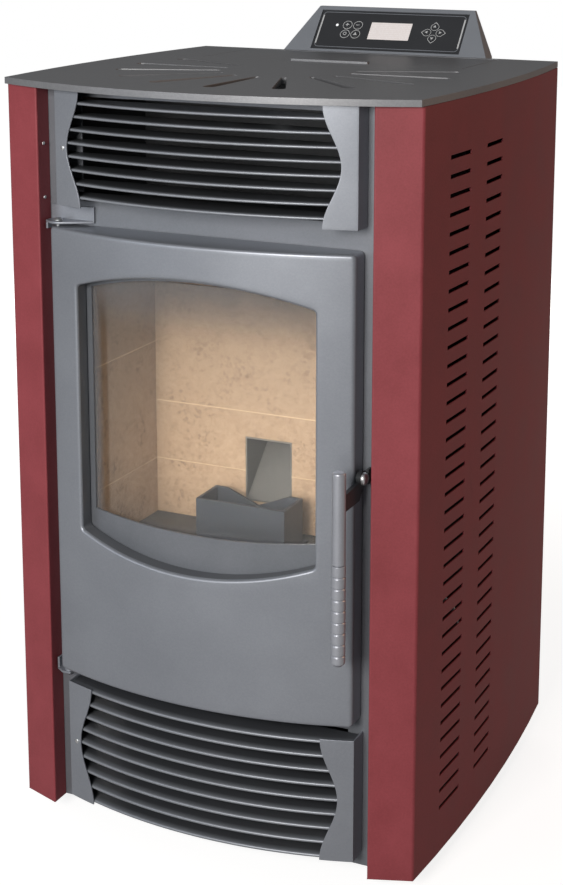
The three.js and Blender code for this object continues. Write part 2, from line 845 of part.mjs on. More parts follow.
// ---- hinges ----
function hingeBracket(leafZ, inset, wallHeight, tabLow, tabHigh) {
  const innerX = -bowHalf + inset;
  const back = -seat - bracketThickness;
  const frontY = hingeY - pinHeadRadius - leafMargin;
  const leaf = plan([
    [bracketOuterX, -seat],
    [bracketOuterX, hingeY],
    [hingeX - pinHeadRadius, frontY],
    [hingeX + pinHeadRadius, frontY],
    [innerX, back],
    [innerX, -seat],
  ], leafZ, leafZ + bracketThickness);
  const above = leafZ > doorTop;
  const wallLow = above ? leafZ : leafZ + bracketThickness - wallHeight;
  const wall = block(bracketOuterX, innerX, back, -seat, wallLow, wallLow + wallHeight);
  const tabX = bracketOuterX + bracketThickness;
  const tab = block(bracketOuterX, tabX, hingeY, hingeY + tabWidth, tabLow, tabHigh);
  const parts = [leaf, wall, tab];
  if (!above) {
    const washerTop = doorBottom - seat;
    parts.push(discZ(pinHeadRadius, leafZ, washerTop, hingeX, hingeY));
  }
  const hole = discZ(pinRadius + seat, leafZ - cutReach, leafZ + cutReach, hingeX, hingeY, 12);
  return cut(join(...parts), hole);
}

function hingePin(headZ, tipZ) {
  const up = Math.sign(headZ - tipZ);
  const profile = [[0, tipZ], [pinRadius, tipZ], [pinRadius, headZ]];
  const steps = 3;
  for (let i = 0; i <= steps; i += 1) {
    const t = (Math.PI / 2) * (i / steps);
    const radius = i < steps ? pinHeadRadius * Math.cos(t) : 0;
    profile.push([radius, headZ + up * pinHeadHeight * Math.sin(t)]);
  }
  return turned(up > 0 ? profile : profile.reverse(), hingeX, hingeY, 12);
}

// ---- handle ----
function polar(radius, degrees) {
  const t = THREE.MathUtils.degToRad(degrees);
  return [pivotY + radius * Math.cos(t), pivotZ + radius * Math.sin(t)];
}

function sector(inner, outer, from, to) {
  const steps = 6;
  const outline = [];
  for (let i = 0; i <= steps; i += 1) {
    outline.push(polar(outer, from + ((to - from) * i) / steps));
  }
  for (let i = steps; i >= 0; i -= 1) {
    outline.push(polar(inner, from + ((to - from) * i) / steps));
  }
  return outline;
}

function handleLever() {
  const x0 = leverX;
  const x1 = leverX + leverThickness;
  const bar = side([
    [handleY, leverLow],
    [pivotY - leverEye, leverLow],
    [pivotY + leverEye * 0.6, pivotZ - leverEye],
    [pivotY, pivotZ + leverEye - leverCrown],
    [pivotY - leverEye, leverHigh + leverNeck],
    [handleY, leverHigh],
  ], x0, x1);
  const eye = discX(leverEye, x0, x1, pivotY, pivotZ, 20);
  const hook = side(sector(1, hookRadius, hookHeelAngle, hookToothAngle), x0, x1);
  const slotHalf = keeperRadius + seat;
  const slotOutline = sector(keeperReach - slotHalf, keeperReach + slotHalf, 0, slotSweep);
  const slot = side(slotOutline, x0 - past, x1 + past);
  return cut(
    join(bar, eye, hook),
    slot,
    discX(slotHalf, x0 - past, x1 + past, keeperY, pivotZ, 12),
    discX(boltRadius + seat, x0 - past, x1 + past, pivotY, pivotZ, 12),
    discZ(rodRadius + seat, leverLow - past, leverHigh + past, handleX, handleY, 20),
  );
}

function handleRod() {
  const tip = gripBottom + gripEnd + seat;
  const top = pivotZ + rodRise;
  return turned([
    [0, tip],
    [spindleRadius, tip],
    [spindleRadius, gripTop],
    [rodRadius, gripTop],
    [rodRadius, top - rodChamfer],
    [rodRadius - rodChamfer, top],
    [0, top],
  ], handleX, handleY, 18);
}

function handleGrip() {
  const top = gripTop - seat;
  const pitch = (top - gripBottom) / gripRibs;
  const bore = spindleRadius + seat;
  const floor = gripBottom + gripEnd;
  const profile = [[0, gripBottom], [gripRadius - gripEnd, gripBottom], [gripRadius, floor]];
  for (let i = 1; i < gripRibs; i += 1) {
    const z = gripBottom + i * pitch;
    profile.push([gripRadius, z - gripGroove]);
    profile.push([gripRadius - gripGroove, z]);
    profile.push([gripRadius, z + gripGroove]);
  }
  profile.push([gripRadius, top], [bore, top], [bore, floor], [0, floor]);
  return turned(profile, handleX, handleY, 12);
}

function handleBolt() {
  const nutX = bowHalf - doorSkin - seat;
  const head = leverX + leverThickness + seat;
  return join(
    discX(boltRadius, nutX - nutHeight - 1, head + nutHeight / 2, pivotY, pivotZ, 12),
    discX(nutRadius, head, head + nutHeight, pivotY, pivotZ, 6),
    discX(nutRadius, nutX - nutHeight, nutX, pivotY, pivotZ, 6),
  );
}

function latchKeeper() {
  const postX = leverX + leverThickness + slack;
  const low = pivotZ - keeperHalf;
  const high = pivotZ + keeperHalf;
  const pin = discX(keeperRadius, leverX - slack / 2, postX + keeperPlate / 2, keeperY, pivotZ, 12);
  const post = block(postX, postX + keeperPlate, keeperY - 2 * keeperRadius, -seat, low, high);
  const heel = block(postX, postX + keeperFoot, -seat - sheet, -seat, low, high);
  return join(pin, post, heel);
}

// ---- firebox ----
function fireboxBody() {
  const back = boxInnerRearY;
  const chuteHole = chuteHalf + chuteWall + seat;
  return cut(
    block(-boxOuterHalf, boxOuterHalf, boxFrontY, boxRearY, boxBottom, boxTop),
    block(-boxInnerHalf, boxInnerHalf, 0, back, fireFloor, boxTop - boxWall),
    block(-boxInnerHalf, boxInnerHalf, 0, back, boxBottom + boxWall, floorBottom),
    block(-potHalf, potHalf, potFrontY, potRearY, floorBottom - past, fireFloor + past),
    block(-chuteHole, chuteHole, back - past, boxRearY + past, chuteBottom - chuteWall - seat,
      chuteTop + chuteWall + (boxRearY - fireBackY) + seat),
    discY(igniterRadius + seat, back - past, boxRearY + past, 0, igniterZ, 12),
    discY(exhaustEye, back - past, boxRearY + past, exhaustX, exhaustZ, 20),
    discY(intakeRadius + seat, back - past, boxRearY + past, intakeX, intakeZ, pipeSides),
  );
}

function jointBand(course) {
  const z = fireFloor + firstCourse + course * courseHeight;
  return [z - jointWidth / 2, z + jointWidth / 2];
}

function sideBrick(sign) {
  const inner = sign * fireHalf;
  const outer = sign * (fireHalf + brick);
  const x0 = Math.min(inner, outer);
  const x1 = Math.max(inner, outer);
  const frontY = boxFrontY + seat;
  const reach = sign * (fireHalf + jointDepth);
  const joints = sideCourses.map((course) => block(Math.min(inner - sign, reach),
    Math.max(inner - sign, reach), 0, fireBackY, ...jointBand(course)));
  return cut(block(x0, x1, frontY, fireBackY - seat, fireFloor + seat, brickTop), ...joints);
}

function backBrick() {
  const half = fireHalf + brick;
  const chuteHole = chuteHalf + chuteWall + seat;
  const joints = backCourses.map((course) => block(-half - past, half + past, fireBackY - past,
    fireBackY + jointDepth, ...jointBand(course)));
  return cut(
    block(-half, half, fireBackY, fireBackY + brick, fireFloor + seat, brickTop),
    ...joints,
    side(slopedMouth(chuteWall + seat), -chuteHole, chuteHole),
    discY(igniterRadius + seat, 0, cutReach, 0, igniterZ, 12),
  );
}

function baffle() {
  const half = fireHalf + brick;
  const low = brickTop + seat;
  return block(-half, half, baffleFrontY, fireBackY + brick, low, low + baffleThickness);
}

// carries the warm air past the firebox's top to the upper grille and the sunburst
function warmAirDuct() {
  const half = boxOuterHalf - ductInset;
  const rearY = boxRearY - ductInset;
  const path = [[-half, boxFrontY], [-half, rearY], [half, rearY], [half, boxFrontY]];
  return plan(bentSheet(path, sheet), boxTop + seat, caseTop);
}

function burnPot() {
  const x = potHalf - slack;
  const y0 = potFrontY + slack;
  const y1 = potRearY - slack;
  const wide = x + potFlange;
  const deep = y1 + potFlange;
  const bottom = potTop - potDepth;
  const hole = igniterRadius + slack;
  const holes = [];
  for (let i = -2; i <= 2; i += 1) {
    for (let j = -1; j <= 1; j += 2) {
      const y = (y0 + y1 + j * airHolePitch) / 2;
      holes.push(discZ(airHoleRadius, bottom - past, bottom + potWall + past, i * airHolePitch, y, 8));
    }
  }
  const flangeLow = fireFloor + seat;
  return cut(
    join(
      block(-x, x, y0, y1, bottom, potTop),
      block(-wide, wide, y0 - potFlange, deep, flangeLow, flangeLow + potFlangeThickness),
    ),
    block(-x + potWall, x - potWall, y0 + potWall, y1 - potWall, bottom + potWall, potTop + past),
    front([[-x * 0.75, potTop + past], [0, potTop - potNotch], [x * 0.75, potTop + past]],
      y1 - potWall - past, y1 + past),
    discY(hole, y1 - potWall - past, y1 + past, 0, igniterZ, 12),
    // the flange lifts past the igniter's tip
    block(-hole, hole, y1, deep + past, fireFloor, potTop),
    ...holes,
  );
}

function ashPan() {
  const low = boxBottom + boxWall + seat;
  const rearY = boxInnerRearY - ashRearGap;
  const half = fireHalf - ashInset;
  const outer = block(-half, half, ashFrontY, rearY, low, low + ashHeight);
  const inner = block(-half + ashWall, half - ashWall, ashFrontY + ashWall, rearY - ashWall,
    low + ashWall, low + ashHeight + past);
  const pullLow = low + ashHeight - ashPullDrop;
  const pull = block(-ashPullHalf, ashPullHalf, ashFrontY - ashPullReach, ashFrontY + ashWall, pullLow,
    pullLow + ashPullThickness);
  return join(cut(outer, inner), pull);
}

function igniter() {
  const head = discY(igniterHeadRadius, boxRearY + seat, boxRearY + igniterHeadDepth, 0, igniterZ, 12);
  return join(head, discY(igniterRadius, potRearY + seat, boxRearY + igniterTail, 0, igniterZ, 12));
}

// ---- pellet feed ----
const augerPlace = new THREE.Group();
augerPlace.position.set(0, augerLowY, augerLowZ);
augerPlace.rotation.x = augerAngle;
augerPlace.updateMatrix();
stove.add(augerPlace);

function tubeSpace(radius) {
  const space = discZ(radius, -tubeEnd, augerLength + tubeEnd, 0, 0, tubeSides);
  return space.applyMatrix4(augerPlace.matrix);
}

// everything on one side of the tube's axis, above it or below it
function besideAxis(sign) {
  const reach = 3 * tubeRadius;
  const far = sign * reach;
  const space = block(-reach, reach, Math.min(0, far), Math.max(0, far), -reach, augerLength + reach);
  return space.applyMatrix4(augerPlace.matrix);
}

// the chute's slanted mouth and vertical shaft, grown by margin
function slopedMouth(margin) {
  const run = shaftRearY - fireBackY;
  return [
    [fireBackY - past, chuteBottom - margin],
    [fireBackY, chuteBottom - margin],
    [shaftRearY + margin, chuteBottom - margin + run + margin],
    [shaftRearY + margin, augerHighZ],
    [shaftFrontY - margin, augerHighZ],
    [shaftFrontY - margin, chuteTop + margin],
    [fireBackY - past, chuteTop + margin],
  ];
}

function feedChute() {
  const outer = side(slopedMouth(chuteWall), -chuteHalf - chuteWall, chuteHalf + chuteWall);
  const fireSide = block(-cutReach, cutReach, 0, fireBackY, 0, bodyHeight);
  const inner = side(slopedMouth(0), -chuteHalf, chuteHalf);
  const lid = block(-chuteHalf, chuteHalf, shaftFrontY, shaftRearY, augerHighZ - past, augerHighZ + past);
  return cut(outer, inner, lid, fireSide, tubeSpace(tubeRadius + seat));
}

function augerTube() {
  const length = augerLength;
  const shell = cut(
    discZ(tubeRadius, 0, length, 0, 0, tubeSides),
    discZ(tubeInner, tubeEnd, length - tubeEnd, 0, 0, tubeSides),
    discZ(screwShaft + seat, -past, length + past, 0, 0),
  );
  // how far along the axis the line at a height of rise above it passes the depth y
  const along = (y, rise) => (augerLowY + rise * Math.cos(augerAngle) - y) / Math.sin(augerAngle);
  const outletEnd = Math.min(along(shaftFrontY, -tubeRadius), length - 2 * tubeEnd);
  return cut(
    shell,
    block(-spoutHalf, spoutHalf, -2 * tubeRadius, 0, along(shaftRearY, -tubeRadius), outletEnd),
    block(-spoutHalf, spoutHalf, 0, 2 * tubeRadius, along(spoutRearY, tubeRadius),
      along(spoutFrontY, tubeRadius)),
  );
}

function heightOnAxis(y) {
  return augerLowZ + ((augerLowY - y) * augerRise) / augerRun;
}

function augerScrew() {
  const start = tubeEnd + slack;
  const end = augerLength - tubeEnd - slack;
  const turns = (end - start - screwThickness) / screwPitch;
  const steps = Math.round(turns * screwSteps);
  const hub = screwShaft - screwThickness / 2;
  const rings = [];
  for (let i = 0; i <= steps; i += 1) {
    const t = (i / steps) * turns;
    const z = start + t * screwPitch;
    const cos = Math.cos(2 * Math.PI * t);
    const sin = Math.sin(2 * Math.PI * t);
    rings.push([
      [hub * cos, hub * sin, z],
      [screwRadius * cos, screwRadius * sin, z],
      [screwRadius * cos, screwRadius * sin, z + screwThickness],
      [hub * cos, hub * sin, z + screwThickness],
    ].reverse());
  }
  return join(loft(rings), discZ(screwShaft, -gearLength / 2, augerLength - slack, 0, 0, 8));
}

function gearmotor() {
  const top = -seat;
  const joint = top - gearLength;
  return cut(
    join(
      block(-gearHalf, gearHalf, -gearHalf, gearHalf, joint, top),
      discZ(motorRadius, joint - motorLength, joint + past, 0, 0, 20),
    ),
    discZ(screwShaft + seat, -gearLength / 2 - slack, past, 0, 0),
  );
}

function hopper() {
  const rearY = rearPanelY - seat;
  const top = caseTop;
  const drop = heightOnAxis(spoutRearY);
  const spoutTop = augerLowZ + spoutRise;
  const shell = (w, extra) => [
    level(-spoutHalf - w, spoutHalf + w, spoutFrontY - w, spoutRearY + w, drop - extra),
    level(-spoutHalf - w, spoutHalf + w, spoutFrontY - w, spoutRearY + w, spoutTop),
    level(-hopperHalf - w, hopperHalf + w, hopperFrontY + hopperWall - w,
      rearY - hopperWall + w, hopperWaist),
    level(-hopperHalf - w, hopperHalf + w, hopperFrontY + hopperWall - w,
      rearY - hopperWall + w, top + extra),
  ];
  return cut(loft(shell(hopperWall, 0)), loft(shell(0, past)), tubeSpace(tubeRadius + seat), besideAxis(-1));
}

// ---- exhaust fan, flue and intake ----
function exhaustHousing() {
  const y0 = boxRearY + seat;
  const y1 = y0 + exhaustDepth;
  const w = exhaustWall;
  const pipeY = y0 + exhaustDepth / 2;
  const collarLow = exhaustZ - exhaustRadius - collarLength;
  const fit = flueRadius + seat;
  return cut(
    join(
      discY(exhaustRadius, y0, y1, exhaustX, exhaustZ, 20),
      discZ(fit + w, collarLow, exhaustZ, exhaustX, pipeY, pipeSides),
      discY(exhaustMotorRadius, y1 - w, y1 + exhaustMotorLength, exhaustX, exhaustZ, 20),
    ),
    discY(exhaustRadius - w, y0 + w, y1 - w, exhaustX, exhaustZ, 20),
    discZ(fit, collarLow - past, exhaustZ - exhaustRadius / 2, exhaustX, pipeY, pipeSides),
    discY(exhaustEye, y0 - past, y0 + w + past, exhaustX, exhaustZ, 20),
    discY(rotorShaft + seat, y1 - w - past, y1 + exhaustMotorLength / 2 + slack, exhaustX, exhaustZ, 12),
  );
}

function exhaustRotor() {
  const y0 = boxRearY + seat + exhaustWall + rotorGap;
  const y1 = boxRearY + seat + exhaustDepth - exhaustWall - rotorGap;
  const reach = exhaustRadius - exhaustWall - 2 * rotorGap;
  const parts = [
    discY(reach, y1 - rotorSheet, y1, exhaustX, exhaustZ, 24),
    discY(rotorShaft, y0 + rotorGap, y1 + exhaustMotorLength / 2, exhaustX, exhaustZ, 12),
  ];
  for (let i = 0; i < exhaustBlades; i += 1) {
    const blade = block(rotorShaft / 2, reach - rotorSheet, (y0 + y1) / 2, y1 - rotorSheet / 2,
      -rotorSheet / 2, rotorSheet / 2);
    blade.rotateY((2 * Math.PI * i) / exhaustBlades);
    parts.push(blade.translate(exhaustX, 0, exhaustZ));
  }
  return join(...parts);
}

function pipeRings(radius, path, sides) {
  return path.map(([y, z, lean]) => {
    const ring = [];
    for (let i = 0; i < sides; i += 1) {
      const t = (2 * Math.PI * i) / sides;
      const across = radius * Math.sin(t);
      ring.push([exhaustX + radius * Math.cos(t), y + across * Math.sin(lean), z + across * Math.cos(lean)]);
    }
    return ring.reverse();
  });
}

function flueOutlet() {
  const startY = boxRearY + seat + exhaustDepth / 2;
  const startZ = exhaustZ - exhaustRadius - collarLength + flueInsert;
  const path = (extra) => {
    const points = [[startY, startZ + extra, Math.PI / 2]];
    const steps = 4;
    for (let i = 0; i <= steps; i += 1) {
      const t = ((Math.PI / 2) * i) / steps;
      points.push([
        startY + flueBend * (1 - Math.cos(t)),
        flueZ + flueBend * (1 - Math.sin(t)),
        Math.PI / 2 - t,
      ]);
    }
    points.push([flueRearY + extra, flueZ, 0]);
    return points;
  };
  const outer = loft(pipeRings(flueRadius, path(0), pipeSides));
  return cut(outer, loft(pipeRings(flueRadius - flueWall, path(past), pipeSides)));
}

function airIntake() {
  const start = boxInnerRearY + seat;
  return cut(
    discY(intakeRadius, start, flueRearY, intakeX, intakeZ, pipeSides),
    discY(intakeRadius - intakeWall, start - past, flueRearY + past, intakeX, intakeZ, pipeSides),
  );
}

// ---- room fan ----
function blowerHousing() {
  const w = blowerWall;
  const x0 = blowerLeft - w;
  const x1 = blowerRight + w;
  const floor = footHeight + baseThickness + seat;
  const r = blowerRadius + w;
  const cradle = r - blowerIntakeHigh;
  return cut(
    join(
      discX(r, x0, x1, blowerY, blowerZ, 24),
      block(x0, x1, blowerY - cradle, blowerY + cradle, floor, floor + blowerCradle),
      discX(blowerMotorRadius, x0 - blowerMotorLength, x0 + w, blowerY, blowerZ, 20),
    ),
    discX(blowerRadius, blowerLeft, blowerRight, blowerY, blowerZ, 24),
    block(blowerLeft, blowerRight, blowerY - r - past, blowerY - blowerLip, blowerZ, blowerZ + r + past),
    block(blowerLeft, blowerRight, blowerY, blowerY + r + past, blowerZ - blowerIntakeHigh,
      blowerZ + blowerIntakeHigh),
    discX(rotorShaft + seat, x0 - blowerMotorLength / 2, x1 + past, blowerY, blowerZ, 12),
  );
}

function blowerRotorShape() {
  const x0 = blowerLeft + rotorGap;
  const x1 = blowerRight - rotorGap;
  const parts = [
    discX(blowerRotor, x0, x0 + rotorSheet, 0, 0, 20),
    discX(blowerRotor, x1 - rotorSheet, x1, 0, 0, 20),
    discX(rotorShaft, x0 - rotorGap - blowerMotorLength / 3, x1 + rotorGap, 0, 0, 12),
  ];
  for (let i = 0; i < blowerBlades; i += 1) {
    const blade = block(x0 + rotorSheet / 2, x1 - rotorSheet / 2, -rotorSheet / 2, rotorSheet / 2,
      blowerRotor - blowerBladeDepth, blowerRotor - rotorSheet / 2);
    blade.rotateX((2 * Math.PI * i) / blowerBlades);
    parts.push(blade);
  }
  return join(...parts).translate(0, blowerY, blowerZ);
}

// ---- base, feet and rear ----
function basePlate() {
  const half = panelHalf - sheet - seat;
  const rearY = rearPanelY - seat;
  const bulge = panelSideBow - slack / 2;
  const outline = [
    ...arc([half, boxFrontY], [half, rearY], bulge, 8),
    ...arc([-half, rearY], [-half, boxFrontY], bulge, 8),
  ];
  return plan(outline, footHeight, footHeight + baseThickness);
}

function foot(x, y) {
  return turned([
    [0, 0],
    [footPad - footChamfer, 0],
    [footPad, footChamfer],
    [footPad, footRim],
    [footNeck, footNeckLow],
    [footNeck, footHeight - seat],
    [0, footHeight - seat],
  ], x, y, 12);
}

function rearPanel() {
  const half = panelHalf - sheet - seat;
  const y0 = rearPanelY - past;
  const y1 = caseRearY + past;
  const vents = [];
  for (let i = 0; i < rearVentRows; i += 1) {
    const z = rearVentLowest + i * rearVentPitch;
    vents.push(block(rearVentX - rearVentHalf, rearVentX + rearVentHalf, y0, y1, z, z + rearVentHeight));
  }
  const inletX0 = inletX - inletHalfWidth + inletFlange;
  const inletX1 = inletX + inletHalfWidth - inletFlange;
  return cut(
    block(-half, half, rearPanelY, caseRearY, footHeight, caseTop),
    discY(flueRadius + slack, y0, y1, exhaustX, flueZ, 24),
    discY(intakeRadius + slack / 2, y0, y1, intakeX, intakeZ, 24),
    block(inletX0, inletX1, y0, y1, inletZ - inletHalfHeight + inletFlange,
      inletZ + inletHalfHeight - inletFlange),
    ...vents,
  );
}

function powerInlet() {
  const y1 = caseRearY + seat;
  const inset = inletFlange + seat;
  const bayHalf = rockerHalfWidth + slack / 2;
  const pins = [-1, 0, 1].map((place) => {
    const x = inletX + place * pinPitch;
    const low = pinLow + (place ? 0 : earthPinRise);
    return block(x - pinHalf, x + pinHalf, y1 - socketDepth - past, y1 - pinRecess, low, low + pinHeight);
  });
  const shell = cut(
    join(
      block(inletX - inletHalfWidth, inletX + inletHalfWidth, y1, y1 + inletPlate,
        inletZ - inletHalfHeight, inletZ + inletHalfHeight),
      block(inletX - inletHalfWidth + inset, inletX + inletHalfWidth - inset, y1 - inletDepth,
        y1 + inletPlate / 2, inletZ - inletHalfHeight + inset, inletZ + inletHalfHeight - inset),
    ),
    block(inletX - socketHalfWidth, inletX + socketHalfWidth, y1 - socketDepth, y1 + inletPlate + past,
      socketLow, socketHigh),
    block(inletX - bayHalf, inletX + bayHalf, y1 - rockerBay, y1 + inletPlate + past,
      rockerZ - rockerHalfHeight - slack, rockerZ + rockerHalfHeight + slack),
  );
  return join(shell, ...pins);
}

function powerSwitch() {
  const half = rockerHalfHeight;
  return side([
    [-rockerRear, -half / 2],
    [rockerFront, -half],
    [rockerWaist, 0],
    [rockerFront, half],
    [-rockerRear, half / 2],
  ], -rockerHalfWidth, rockerHalfWidth);
}

// ---- console ----
const consolePlace = new THREE.Group();
consolePlace.position.set(consoleX, consoleFrontY, bodyHeight);
consolePlace.rotation.x = THREE.MathUtils.degToRad(consoleTilt);
consolePlace.updateMatrix();
stove.add(consolePlace);

function consoleHousing() {
  const tilt = THREE.MathUtils.degToRad(consoleTilt);
  const topY = consoleFrontY + consoleSlope * Math.cos(tilt);
  const topZ = bodyHeight + consoleSlope * Math.sin(tilt);
  const skirtLow = plateBottom - consoleSkirt;
  const skirtTop = plateBottom - 2 * seat;
  const w = consoleWall;
  const skirtY = caseRearY + seat;
  const outer = [
    [consoleBaseHalf, skirtY, consoleFootY, skirtLow],
    [consoleBaseHalf, skirtY, consoleFootY, skirtTop],
    [consoleBaseHalf, consoleFrontY, consoleFootY, skirtTop],
    [consoleBaseHalf, consoleFrontY, consoleFootY, bodyHeight],
    [consoleTopHalf, topY, consoleRearY, topZ],
  ];
  const inner = [
    [consoleBaseHalf - w, consoleFrontY + w, consoleFootY - w, skirtLow - past],
    [consoleBaseHalf - w, consoleFrontY + w, consoleFootY - w, bodyHeight],
    [consoleTopHalf, topY - w, consoleRearY - 2 * w, topZ - 2 * w],
  ];
  const ring = ([half, y0, y1, z]) => level(consoleX - half, consoleX + half, y0, y1, z);
  const bay = faceRecess + faceThickness + slack;
  const opening = block(-faceHalf, faceHalf, faceLow, faceHigh, -bay, w);
  return cut(
    loft(outer.map(ring)),
    loft(inner.map(ring)),
    opening.applyMatrix4(consolePlace.matrix),
  );
}

const buttonPlaces = [];
for (const row of [1, -1]) {
  for (const column of [-1, 1]) {
    buttonPlaces.push([buttonX + (column * buttonPitchX) / 2, buttonY + (row * buttonPitchY) / 2]);
  }
}

function petalOutline(turn, margin) {
  const steps = 8;
  const radius = petalRadius + margin;
  const points = [[petalTip + margin, 0]];
  for (let i = 0; i <= steps; i += 1) {
    const t = Math.PI / 3 + (4 * Math.PI * i) / 3 / steps;
    points.push([petalReach + radius * Math.cos(t), radius * Math.sin(t)]);
  }
  const cos = Math.cos((turn * Math.PI) / 2);
  const sin = Math.sin((turn * Math.PI) / 2);
  return points.map(([x, y]) => [padX + x * cos - y * sin, padY + x * sin + y * cos]);
}

function consoleFace() {
  const top = -faceRecess;
  const low = top - faceThickness;
  const tools = [
    block(-lcdHalfWidth - seat, lcdHalfWidth + seat, lcdLow - seat, lcdHigh + seat, low - past,
      top + past),
  ];
  for (const [x, y] of buttonPlaces) {
    tools.push(discZ(buttonRadius + seat, low - past, top + past, x, y));
  }
  for (let i = 0; i < 4; i += 1) {
    tools.push(plan(petalOutline(i, seat), low - past, top + past));
  }
  return cut(block(-faceHalf + seat, faceHalf - seat, faceLow + seat, faceHigh - seat, low, top), ...tools);
}

function roundButton([x, y]) {
  const top = keyTravelRoom - faceRecess;
  return turned([
    [0, -faceRecess - faceThickness],
    [buttonRadius, -faceRecess - faceThickness],
    [buttonRadius, top - buttonChamfer],
    [buttonRadius - buttonChamfer, top],
    [0, top],
  ], x, y, 12);
}

// ---- put together ----
add('top_plate', topPlate(), 'plate');
add('hopper_lid', hopperLid(), 'plate');
add('left_side_panel', sidePanel(-1), 'redPaint');
add('right_side_panel', sidePanel(1), 'redPaint');
add('face_frame', faceFrame(), 'greyPaint');
add('upper_grille', grille(upperGrille), 'greyPaint', grillePlace);
add('lower_grille', grille(lowerGrille), 'greyPaint', grillePlace);
add('base_plate', basePlate(), 'darkPaint');
add('rear_panel', rearPanel(), 'darkPaint');
const footPlaces = { left: -footX, right: footX };
for (const [name, x] of Object.entries(footPlaces)) {
  add(`front_${name}_foot`, foot(x, footFrontY), 'rubber');
  add(`rear_${name}_foot`, foot(x, footRearY), 'rubber');
}

add('door_skin', doorSkinShape(), 'greyPaint', doorPlace);
add('door_inner_frame', innerFrame(), 'greyPaint', doorPlace);
add('door_glass', doorGlass(), 'glass', doorPlace);
add('door_liner', doorLiner(), 'darkPaint', doorPlace);
add('door_gasket', doorGasket(), 'rope', doorPlace);
const upperBracket = hingeBracket(upperLeafZ, upperBracketInset, upperWallHeight,
  upperLeafZ - upperTabDrop, upperLeafZ + bracketThickness);
const lowerBracket = hingeBracket(lowerLeafZ, lowerBracketInset, lowerWallHeight,
  lowerLeafZ, lowerLeafZ + bracketThickness + lowerTabRise);
add('upper_hinge_bracket', upperBracket, 'greyPaint', doorPlace);
add('lower_hinge_bracket', lowerBracket, 'greyPaint', doorPlace);
add('upper_hinge_pin', hingePin(upperLeafZ + bracketThickness + seat, doorTop - pinReach), 'zinc', doorPlace);
add('lower_hinge_pin', hingePin(lowerLeafZ - seat, doorBottom + pinReach), 'zinc', doorPlace);
add('handle_lever', handleLever(), 'darkPaint', doorPlace);
add('handle_rod', handleRod(), 'greyPaint', doorPlace);
add('handle_grip', handleGrip(), 'greyPaint', doorPlace);
add('handle_bolt', handleBolt(), 'zinc', doorPlace);
add('latch_keeper', latchKeeper(), 'darkPaint', doorPlace);

add('firebox_body', fireboxBody(), 'castIron');
add('brick_left', sideBrick(-1), 'vermiculite');
add('brick_right', sideBrick(1), 'vermiculite');
add('brick_back', backBrick(), 'vermiculite');
add('baffle', baffle(), 'vermiculite');
add('warm_air_duct', warmAirDuct(), 'darkPaint');
add('burn_pot', burnPot(), 'castIron');
add('ash_pan', ashPan(), 'darkPaint');
add('igniter', igniter(), 'zinc');

add('feed_chute', feedChute(), 'zinc');
add('hopper', hopper(), 'zinc');
add('auger_tube', augerTube(), 'zinc', augerPlace);
add('auger_screw', augerScrew(), 'zinc', augerPlace);
add('auger_gearmotor', gearmotor(), 'blackPlastic', augerPlace);

add('exhaust_fan_housing', exhaustHousing(), 'zinc');
add('exhaust_fan_rotor', exhaustRotor(), 'zinc');
add('flue_outlet', flueOutlet(), 'zinc');
add('air_intake_pipe', airIntake(), 'zinc');
add('room_fan_housing', blowerHousing(), 'zinc');
add('room_fan_rotor', blowerRotorShape(), 'blackPlastic');
add('power_inlet', powerInlet(), 'blackPlastic');
const rocker = add('power_switch', powerSwitch(), 'blackPlastic');
rocker.position.set(inletX, caseRearY + seat - rockerAxisDepth, rockerZ);
rocker.rotation.x = THREE.MathUtils.degToRad(rockerTilt);

add('console_housing', consoleHousing(), 'greyPlastic');
add('console_face', consoleFace(), 'blackPlastic', consolePlace);
const lcdTop = -faceRecess - lcdRecess;
const lcd = block(-lcdHalfWidth, lcdHalfWidth, lcdLow, lcdHigh, -faceRecess - faceThickness, lcdTop);
add('lcd_window', lcd, 'display', consolePlace);
buttonPlaces.forEach((place, i) => {
  add(`round_button_${i + 1}`, roundButton(place), 'blackPlastic', consolePlace);
});
['right', 'up', 'left', 'down'].forEach((name, i) => {
  const key = plan(petalOutline(i, 0), -faceRecess - faceThickness, keyTravelRoom - faceRecess);
  add(`arrow_key_${name}`, key, 'blackPlastic', consolePlace);
});

// the origin goes to the middle of the stove's own footprint, on the floor
stove.updateMatrixWorld(true);
const bounds = new THREE.Box3().setFromObject(stove, true);
const middle = bounds.getCenter(new THREE.Vector3());
stove.position.set(-middle.x, -middle.y, 0);

export default stove;
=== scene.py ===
import json
import math
from contextlib import contextmanager

import bmesh
import bpy
from mathutils import Matrix, Vector


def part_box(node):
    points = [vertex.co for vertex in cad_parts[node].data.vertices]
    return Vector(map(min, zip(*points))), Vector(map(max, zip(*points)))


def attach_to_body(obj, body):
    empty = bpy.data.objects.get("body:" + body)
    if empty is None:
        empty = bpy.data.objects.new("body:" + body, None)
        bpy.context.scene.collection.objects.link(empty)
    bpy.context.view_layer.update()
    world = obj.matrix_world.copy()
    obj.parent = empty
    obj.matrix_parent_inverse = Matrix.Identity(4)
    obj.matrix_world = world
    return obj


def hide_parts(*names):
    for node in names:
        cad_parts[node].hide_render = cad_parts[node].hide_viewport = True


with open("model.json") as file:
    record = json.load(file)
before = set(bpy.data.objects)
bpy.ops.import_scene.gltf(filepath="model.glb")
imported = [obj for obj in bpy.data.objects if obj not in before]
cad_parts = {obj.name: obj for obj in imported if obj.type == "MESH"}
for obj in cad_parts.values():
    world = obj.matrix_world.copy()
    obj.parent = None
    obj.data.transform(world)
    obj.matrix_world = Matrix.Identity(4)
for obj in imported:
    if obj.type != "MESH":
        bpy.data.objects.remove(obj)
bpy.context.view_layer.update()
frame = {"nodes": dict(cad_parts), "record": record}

print("frame loaded:", len(frame["nodes"]), "nodes")
mm = 0.001
quarterTurn = math.pi / 2
